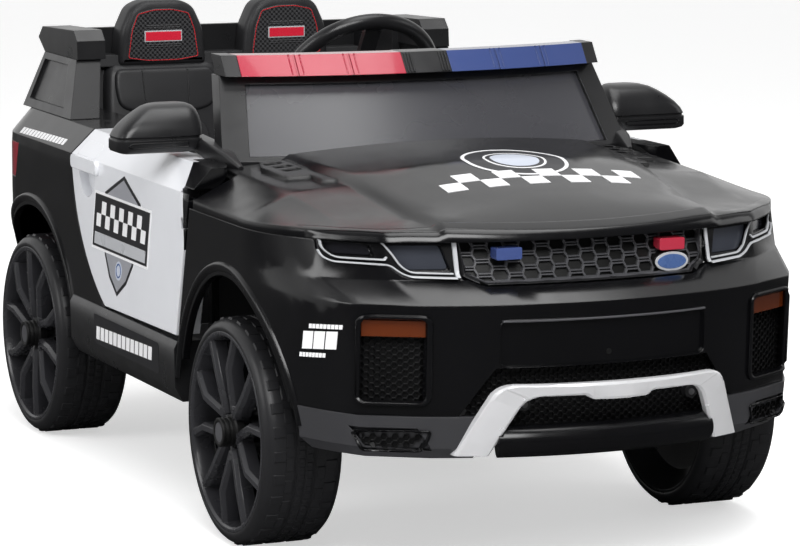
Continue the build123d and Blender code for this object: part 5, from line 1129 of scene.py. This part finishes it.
# name, outer and inner radius, height, material
HOOD_RINGS = (("field", 57.0, 0.0, 0.25, "sticker_black"), ("outer", 56.5, 52.5, 0.45, "sticker_white"),
              ("middle", 33.5, 31.0, 0.45, "sticker_white"), ("inner", 26.0, 0.0, 0.45, "sticker_pale"))
HOOD_BAND = (15.0, -364.0)
HOOD_CHECKS, HOOD_CHECK = 10, 23.0


def checks(shape, columns, size, place, high):
    """Two rows of squares, every second one filled; place gives the middle of the band."""
    for row in range(2):
        for column in range(columns):
            if (row + column) % 2:
                continue
            u = place[0] + (column - columns / 2) * size
            v = place[1] + (row - 1) * size
            sheet(shape, box_line(u, u + size, v, v + size), high)
    return shape


def make_hood_graphics():
    """Plain ring and a two-row check band, with no lettering."""
    tree = skin_of("hood")
    for name, outer, inner, high, material in HOOD_RINGS:
        shape = annulus(Shape(), HOOD_RING, outer, inner, high)
        drape_top(shape, tree).piece(f"hood_ring_{name}", material)
    band = checks(Shape(), HOOD_CHECKS, HOOD_CHECK, HOOD_BAND, 0.75)
    drape_top(band, tree).piece("hood_checks", "sticker_white")


# clockwise, so a negative offset draws it in
SHIELD = [(0, 347), (60, 322), (58, 290), (48, 250), (29, 226), (0, 208), (-29, 226), (-48, 250), (-58, 290),
          (-60, 322)]
SHIELD_AT = 71.0
SHIELD_LEAN = 0.25              # the graphic leans backwards towards its foot
SHIELD_MIDDLE_Z = 285.0
# name, outline, height, material
SHIELD_LAYERS = (
    ("shield_edge", SHIELD, 0.25, "sticker_black"),
    ("shield_field", offset_line(SHIELD, -4.5, True), 0.4, "sticker_grey"),
    ("band_edge", box_line(-96, 94, 253, 320), 0.55, "sticker_white"),
    ("band_frame", box_line(-93, 91, 256, 317), 0.7, "sticker_black"),
    ("band_foot", box_line(-87, 85, 259, 273), 0.85, "silver"),
)
BAND_MIDDLE = (-1.0, 295.0)
EMBLEM_AT = (-2.0, 238.0)


def make_door_graphics():
    """Blank shield with a ring and a check band, with no lettering."""
    for name, side in SIDES:
        node = "door_" + name
        tree = skin_of(node)
        body = frame["nodes"][node]["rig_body"]
        shapes = [(label, sheet(Shape(), outline, high), material)
                  for label, outline, high, material in SHIELD_LAYERS]
        shapes += [("band_checks", checks(Shape(), 11, 15.0, BAND_MIDDLE, 0.85), "sticker_white"),
                   ("emblem", annulus(Shape(), EMBLEM_AT, 11.0, 0.0, 0.6), "sticker_pale"),
                   ("emblem_ring", annulus(Shape(), EMBLEM_AT, 8.5, 6.5, 0.75), "badge")]
        for label, shape, material in shapes:
            shape.moved(lambda p: (p[0] + SHIELD_AT - SHIELD_LEAN * (p[1] - SHIELD_MIDDLE_Z), p[1], p[2]))
            drape(side_view(side), shape, tree).piece(f"{label}_{name}", material, None, body)


# name, CAD node, start, end, height, blocks, gap
DASHES = (
    ("shoulder", "rear_body", (447.0, 357.0), (283.0, 359.5), 6.5, 15, 0.25),
    ("sill", "tub", (152.0, 158.0), (-36.0, 163.5), 15.0, 13, 0.22),
    ("fender_top", "front_body", (-427.0, 254.0), (-468.0, 257.5), 4.5, 9, 0.25),
    ("fender_middle", "front_body", (-418.0, 239.0), (-462.0, 243.5), 18.0, 3, 0.12),
    ("fender_low", "front_body", (-413.0, 223.8), (-447.0, 226.8), 4.5, 8, 0.25),
)
DASH_SLANT = 0.15
DASH_TOP = 0.5
SILL_LABEL = box_line(-55, 160, 145, 179, 3.0)


def dashes(start, end, height, count, gap):
    """A row of slanted blocks between two (y, z) middles."""
    shape = Shape()
    for k in range(count):
        low, far = k / count, (k + 1 - gap) / count
        corners = []
        for share, up in ((low, -0.5), (far, -0.5), (far, 0.5), (low, 0.5)):
            y = start[0] + (end[0] - start[0]) * share - DASH_SLANT * up * height
            z = start[1] + (end[1] - start[1]) * share + up * height
            corners.append((y, z))
        sheet(shape, corners, DASH_TOP)
    return shape


def make_side_graphics():
    for name, side in SIDES:
        label = sheet(Shape(), SILL_LABEL, 0.25)
        drape(side_view(side), label, skin_of("tub")).piece(f"sill_label_{name}", "sticker_black")
        for place, node, *row in DASHES:
            shape = drape(side_view(side), dashes(*row), skin_of(node))
            shape.piece(f"dashes_{place}_{name}", "sticker_white")


# ---------------------------------------------------------------- light bar, mirrors and seats
RIB_X = (17.0, 20.5, 24.0)
CELL_EDGES = (-146.3, -86.7, 86.7, 146.3)
CELL_EDGE_HALF = 6.0
RIB_SHAPE = (468.0, 487.0, 5.0, 1.1, 1.6, 0.6)          # foot z, top z, step, half width, height, chamfer
DIVIDER_SHAPE = (466.0, 488.5, 3.0, 0.7, 0.9, 0.4)


def bar_lines(places, low, high, step, half, top, chamfer):
    """Upright raised lines at some x on the light bar."""
    tree = skin_of("light_bar_base", "red_lens", "blue_lens")
    lines = Shape()
    for x in places:
        local = strip(Shape(), dense([(x, low), (x, high)], step), half, -1.0, top, chamfer)
        lines.join(drape_front(local, tree))
    return lines


def make_bar_details():
    """Black ribs between the lenses and the double dividers in them."""
    ribs = bar_lines([way * x for x in RIB_X for way in (-1, 1)], *RIB_SHAPE)
    ribs.piece("bar_ribs", *TRIM)
    for x in CELL_EDGES:
        material = "red_lens" if x < 0 else "blue_lens"
        lines = bar_lines((x - CELL_EDGE_HALF, x + CELL_EDGE_HALF), *DIVIDER_SHAPE)
        lines.piece(f"bar_divider_{material}_{abs(int(x))}", material, material)


MIRROR_FRONT_Y = -72.0
MIRROR_BACK_Y = -26.0
# z, inner x, outer x, how far the front leans back, corner radius
MIRROR_ROWS = (
    (386.2, 256, 333, 7, 10), (388, 250, 338, 2.5, 12), (391, 247, 340, 0.3, 13),
    (400.6, 243, 339.8, 0.3, 13), (401.6, 245, 338, 2.2, 12), (403.2, 245, 338, 2.2, 12),
    (404.2, 243, 339, 0.4, 13), (410, 242.6, 336, 1, 14), (417, 242.4, 330, 3.5, 15),
    (424, 243, 321.5, 7.5, 16), (430, 245, 312, 13, 16), (434, 248, 304, 19, 15), (436.3, 253, 295, 26, 12),
    (436.9, 259, 287, 31, 8),
)
MIRROR_GROOVE = ((262, 392.6), (326, 392.6), (330, 395.0), (326, 397.6), (262, 397.6))
MIRROR_PANE = ((256, 394), (330, 394), (322, 419), (300, 428), (256, 428))
# y, inner x, outer x, low z, high z
STALK_ROWS = ((-144, 227, 233, 372.5, 378), (-120, 226.5, 242, 373, 390), (-85, 229, 249, 378, 398),
              (-44, 233, 251, 387, 402))


def make_mirror(name, side):
    """Shell with its groove, glass and stalk."""
    back = MIRROR_BACK_Y - 0.2
    rows = []
    for z, inner, outer, lean, radius in MIRROR_ROWS:
        front = MIRROR_FRONT_Y + lean
        line = rounded([(inner, back), (inner, front), (outer, front), (outer, back)], radius, 5)
        rows.append([(side * x, y, z) for x, y in line])
    piece = Shape().tube(rows).piece(f"mirror_shell_{name}", *TRIM, BODY, 50.0)
    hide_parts("mirror_" + name)
    groove = strip(Shape(), mirrored(rounded(MIRROR_GROOVE, 2.0, 3), side), 0.7, -0.6, 0.8, 0.4, closed=True)
    groove.moved(lambda p: (p[0], MIRROR_FRONT_Y + 0.3 - p[2], p[1])).piece(f"mirror_slot_{name}", *GLOSS)
    glass = plate(Shape(), mirrored(rounded(MIRROR_PANE, 8.0, 4), side), -0.5, 0.5, 0.4)
    glass.moved(lambda p: (p[0], MIRROR_BACK_Y + p[2], p[1]))
    glass.piece(f"mirror_glass_{name}", "mirror_glass", "bright")
    rows = [[(side * x, y, z) for x, z in box_line(*corners, 4.0)] for y, *corners in STALK_ROWS]
    Shape().tube(rows).piece(f"mirror_stalk_{name}", *TRIM, BODY, 40.0)


SEAT_X = 81.5                   # middle of each seat
HEADREST_BACK_Y = 538.0
HEADREST_DEPTH = 33.0
HEADREST_LINE = ((-58, 421), (58, 421), (54, 466), (41, 494), (24, 501.8), (-24, 501.8), (-41, 494),
                 (-54, 466))
PANEL_LINE = ((-47, 431), (-20, 427), (20, 427), (47, 431), (42, 466), (34, 487), (12, 492), (-12, 492),
              (-34, 487), (-42, 466))
STITCH = 3.4
STITCH_SHARE = 0.8
LABEL_Z = 458.0
LABEL_FOOT = HEADREST_DEPTH - 2.0
# name, half width, half height, corner radius, distance behind the pad's front, chamfer, material
LABELS = (("border", 24.5, 7.0, 1.0, 0.5, 0.4, "silver"), ("label", 23.0, 5.5, 0.6, 0.2, 0.2, "label_red"))
RIDGES = (LABEL_Z - 13, LABEL_Z - 10.5, LABEL_Z + 10.5, LABEL_Z + 13)
RIDGE_HALF = 22


def make_headrests():
    """Padded heads with a stitched woven panel, a blank label and ridges."""
    heads = Shape()
    for name, side in SIDES:
        def place(point, side=side):
            return (side * SEAT_X + point[0], HEADREST_BACK_Y - point[2], point[1])

        head = pillow(Shape(), rounded(HEADREST_LINE, 8.0, 4), 0.0, HEADREST_DEPTH - 1.5, 9.0)
        heads.join(head.moved(place))
        outline = rounded(PANEL_LINE, 4.0, 3)
        panel = plate(Shape(), outline, HEADREST_DEPTH - 4.0, HEADREST_DEPTH - 1.0, 0.6)
        panel.moved(place).piece(f"headrest_panel_{name}", *WEAVE)
        stitches = Shape()
        path = dense(offset_line(outline, 1.6, True), STITCH, True)
        for a, b in zip(path, path[1:] + path[:1]):
            end = tuple(p + (q - p) * STITCH_SHARE for p, q in zip(a, b))
            strip(stitches, [a, end], 0.55, HEADREST_DEPTH - 1.3, HEADREST_DEPTH - 0.5, 0.3)
        stitches.moved(place).piece(f"headrest_stitches_{name}", "stitch_red")
        for part, wide, tall, corner, behind, chamfer, material in LABELS:
            line = box_line(-wide, wide, LABEL_Z - tall, LABEL_Z + tall, corner)
            shape = plate(Shape(), line, LABEL_FOOT, HEADREST_DEPTH - behind, chamfer)
            shape.moved(place).piece(f"headrest_{part}_{name}", material)
        ridges = Shape()
        for z in RIDGES:
            strip(ridges, [(-RIDGE_HALF, z), (RIDGE_HALF, z)], 0.7, LABEL_FOOT, HEADREST_DEPTH - 0.5, 0.5)
        ridges.moved(place).piece(f"headrest_ridges_{name}", *WEAVE)
    piece = heads.piece("headrest_pads", *SEAT, BODY, 50.0)
    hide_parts("headrests")


SEAT_BACK = (519.4, 415.0, 0.24)    # the seat back's face: y at a height z, and how much it leans per mm
CUSHIONS = (
    # name, outline in (x, z) from the seat's middle, corner radius, front height, edge radius
    ("bolster", ((-78, 288), (78, 288), (79, 330), (77.5, 385), (72, 426), (-72, 426), (-77.5, 385),
                 (-79, 330)), 16.0, 15.0, 10.0),
    ("upper", ((-62, 373), (-42, 366), (42, 366), (62, 373), (66, 396), (64, 419), (-64, 419), (-66, 396)),
     10.0, 18.5, 5.0),
    ("lower", ((-50, 300), (50, 300), (54, 340), (44, 357), (-44, 357), (-54, 340)), 10.0, 18.0, 5.0),
)
SEAM_X = (-28.0, 28.0)
SEAM_Z = (370.0, 417.0)
SEAM_SPREAD = 1.05


def make_seat_backs():
    """Rounded bolsters, panels and seams of the two moulded buckets."""
    face_y, face_z, lean = SEAT_BACK
    for name, side in SIDES:
        def place(point, side=side):
            return (side * SEAT_X + point[0], face_y + (point[1] - face_z) * lean - point[2], point[1])

        for part, outline, corner, front, edge in CUSHIONS:
            shape = pillow(Shape(), rounded(outline, corner, 4), -3.0, front, edge)
            shape.moved(place).piece(f"seat_{part}_{name}", *SEAT, BODY, 50.0)
        seams = Shape()
        for x in SEAM_X:
            strip(seams, dense([(x, SEAM_Z[0]), (x * SEAM_SPREAD, SEAM_Z[1])], 8.0), 0.9, 17.5, 19.2, 0.6)
        seams.moved(place).piece(f"seat_seams_{name}", "satin_black", "seat_black")


# ---------------------------------------------------------------- whole scene
def make_mirrors():
    for name, side in SIDES:
        make_mirror(name, side)


bpy.context.scene.view_settings.view_transform = "Standard"
for make_part in (make_camera, make_world, make_lights, make_floor, make_skins, make_wheels, make_lamps_trim,
                  make_grille, make_nose_lines, make_hood_lip, make_meshes, make_trim, make_arch_lips,
                  make_hood_graphics, make_door_graphics, make_side_graphics, make_bar_details, make_mirrors,
                  make_headrests, make_seat_backs):
    make_part()
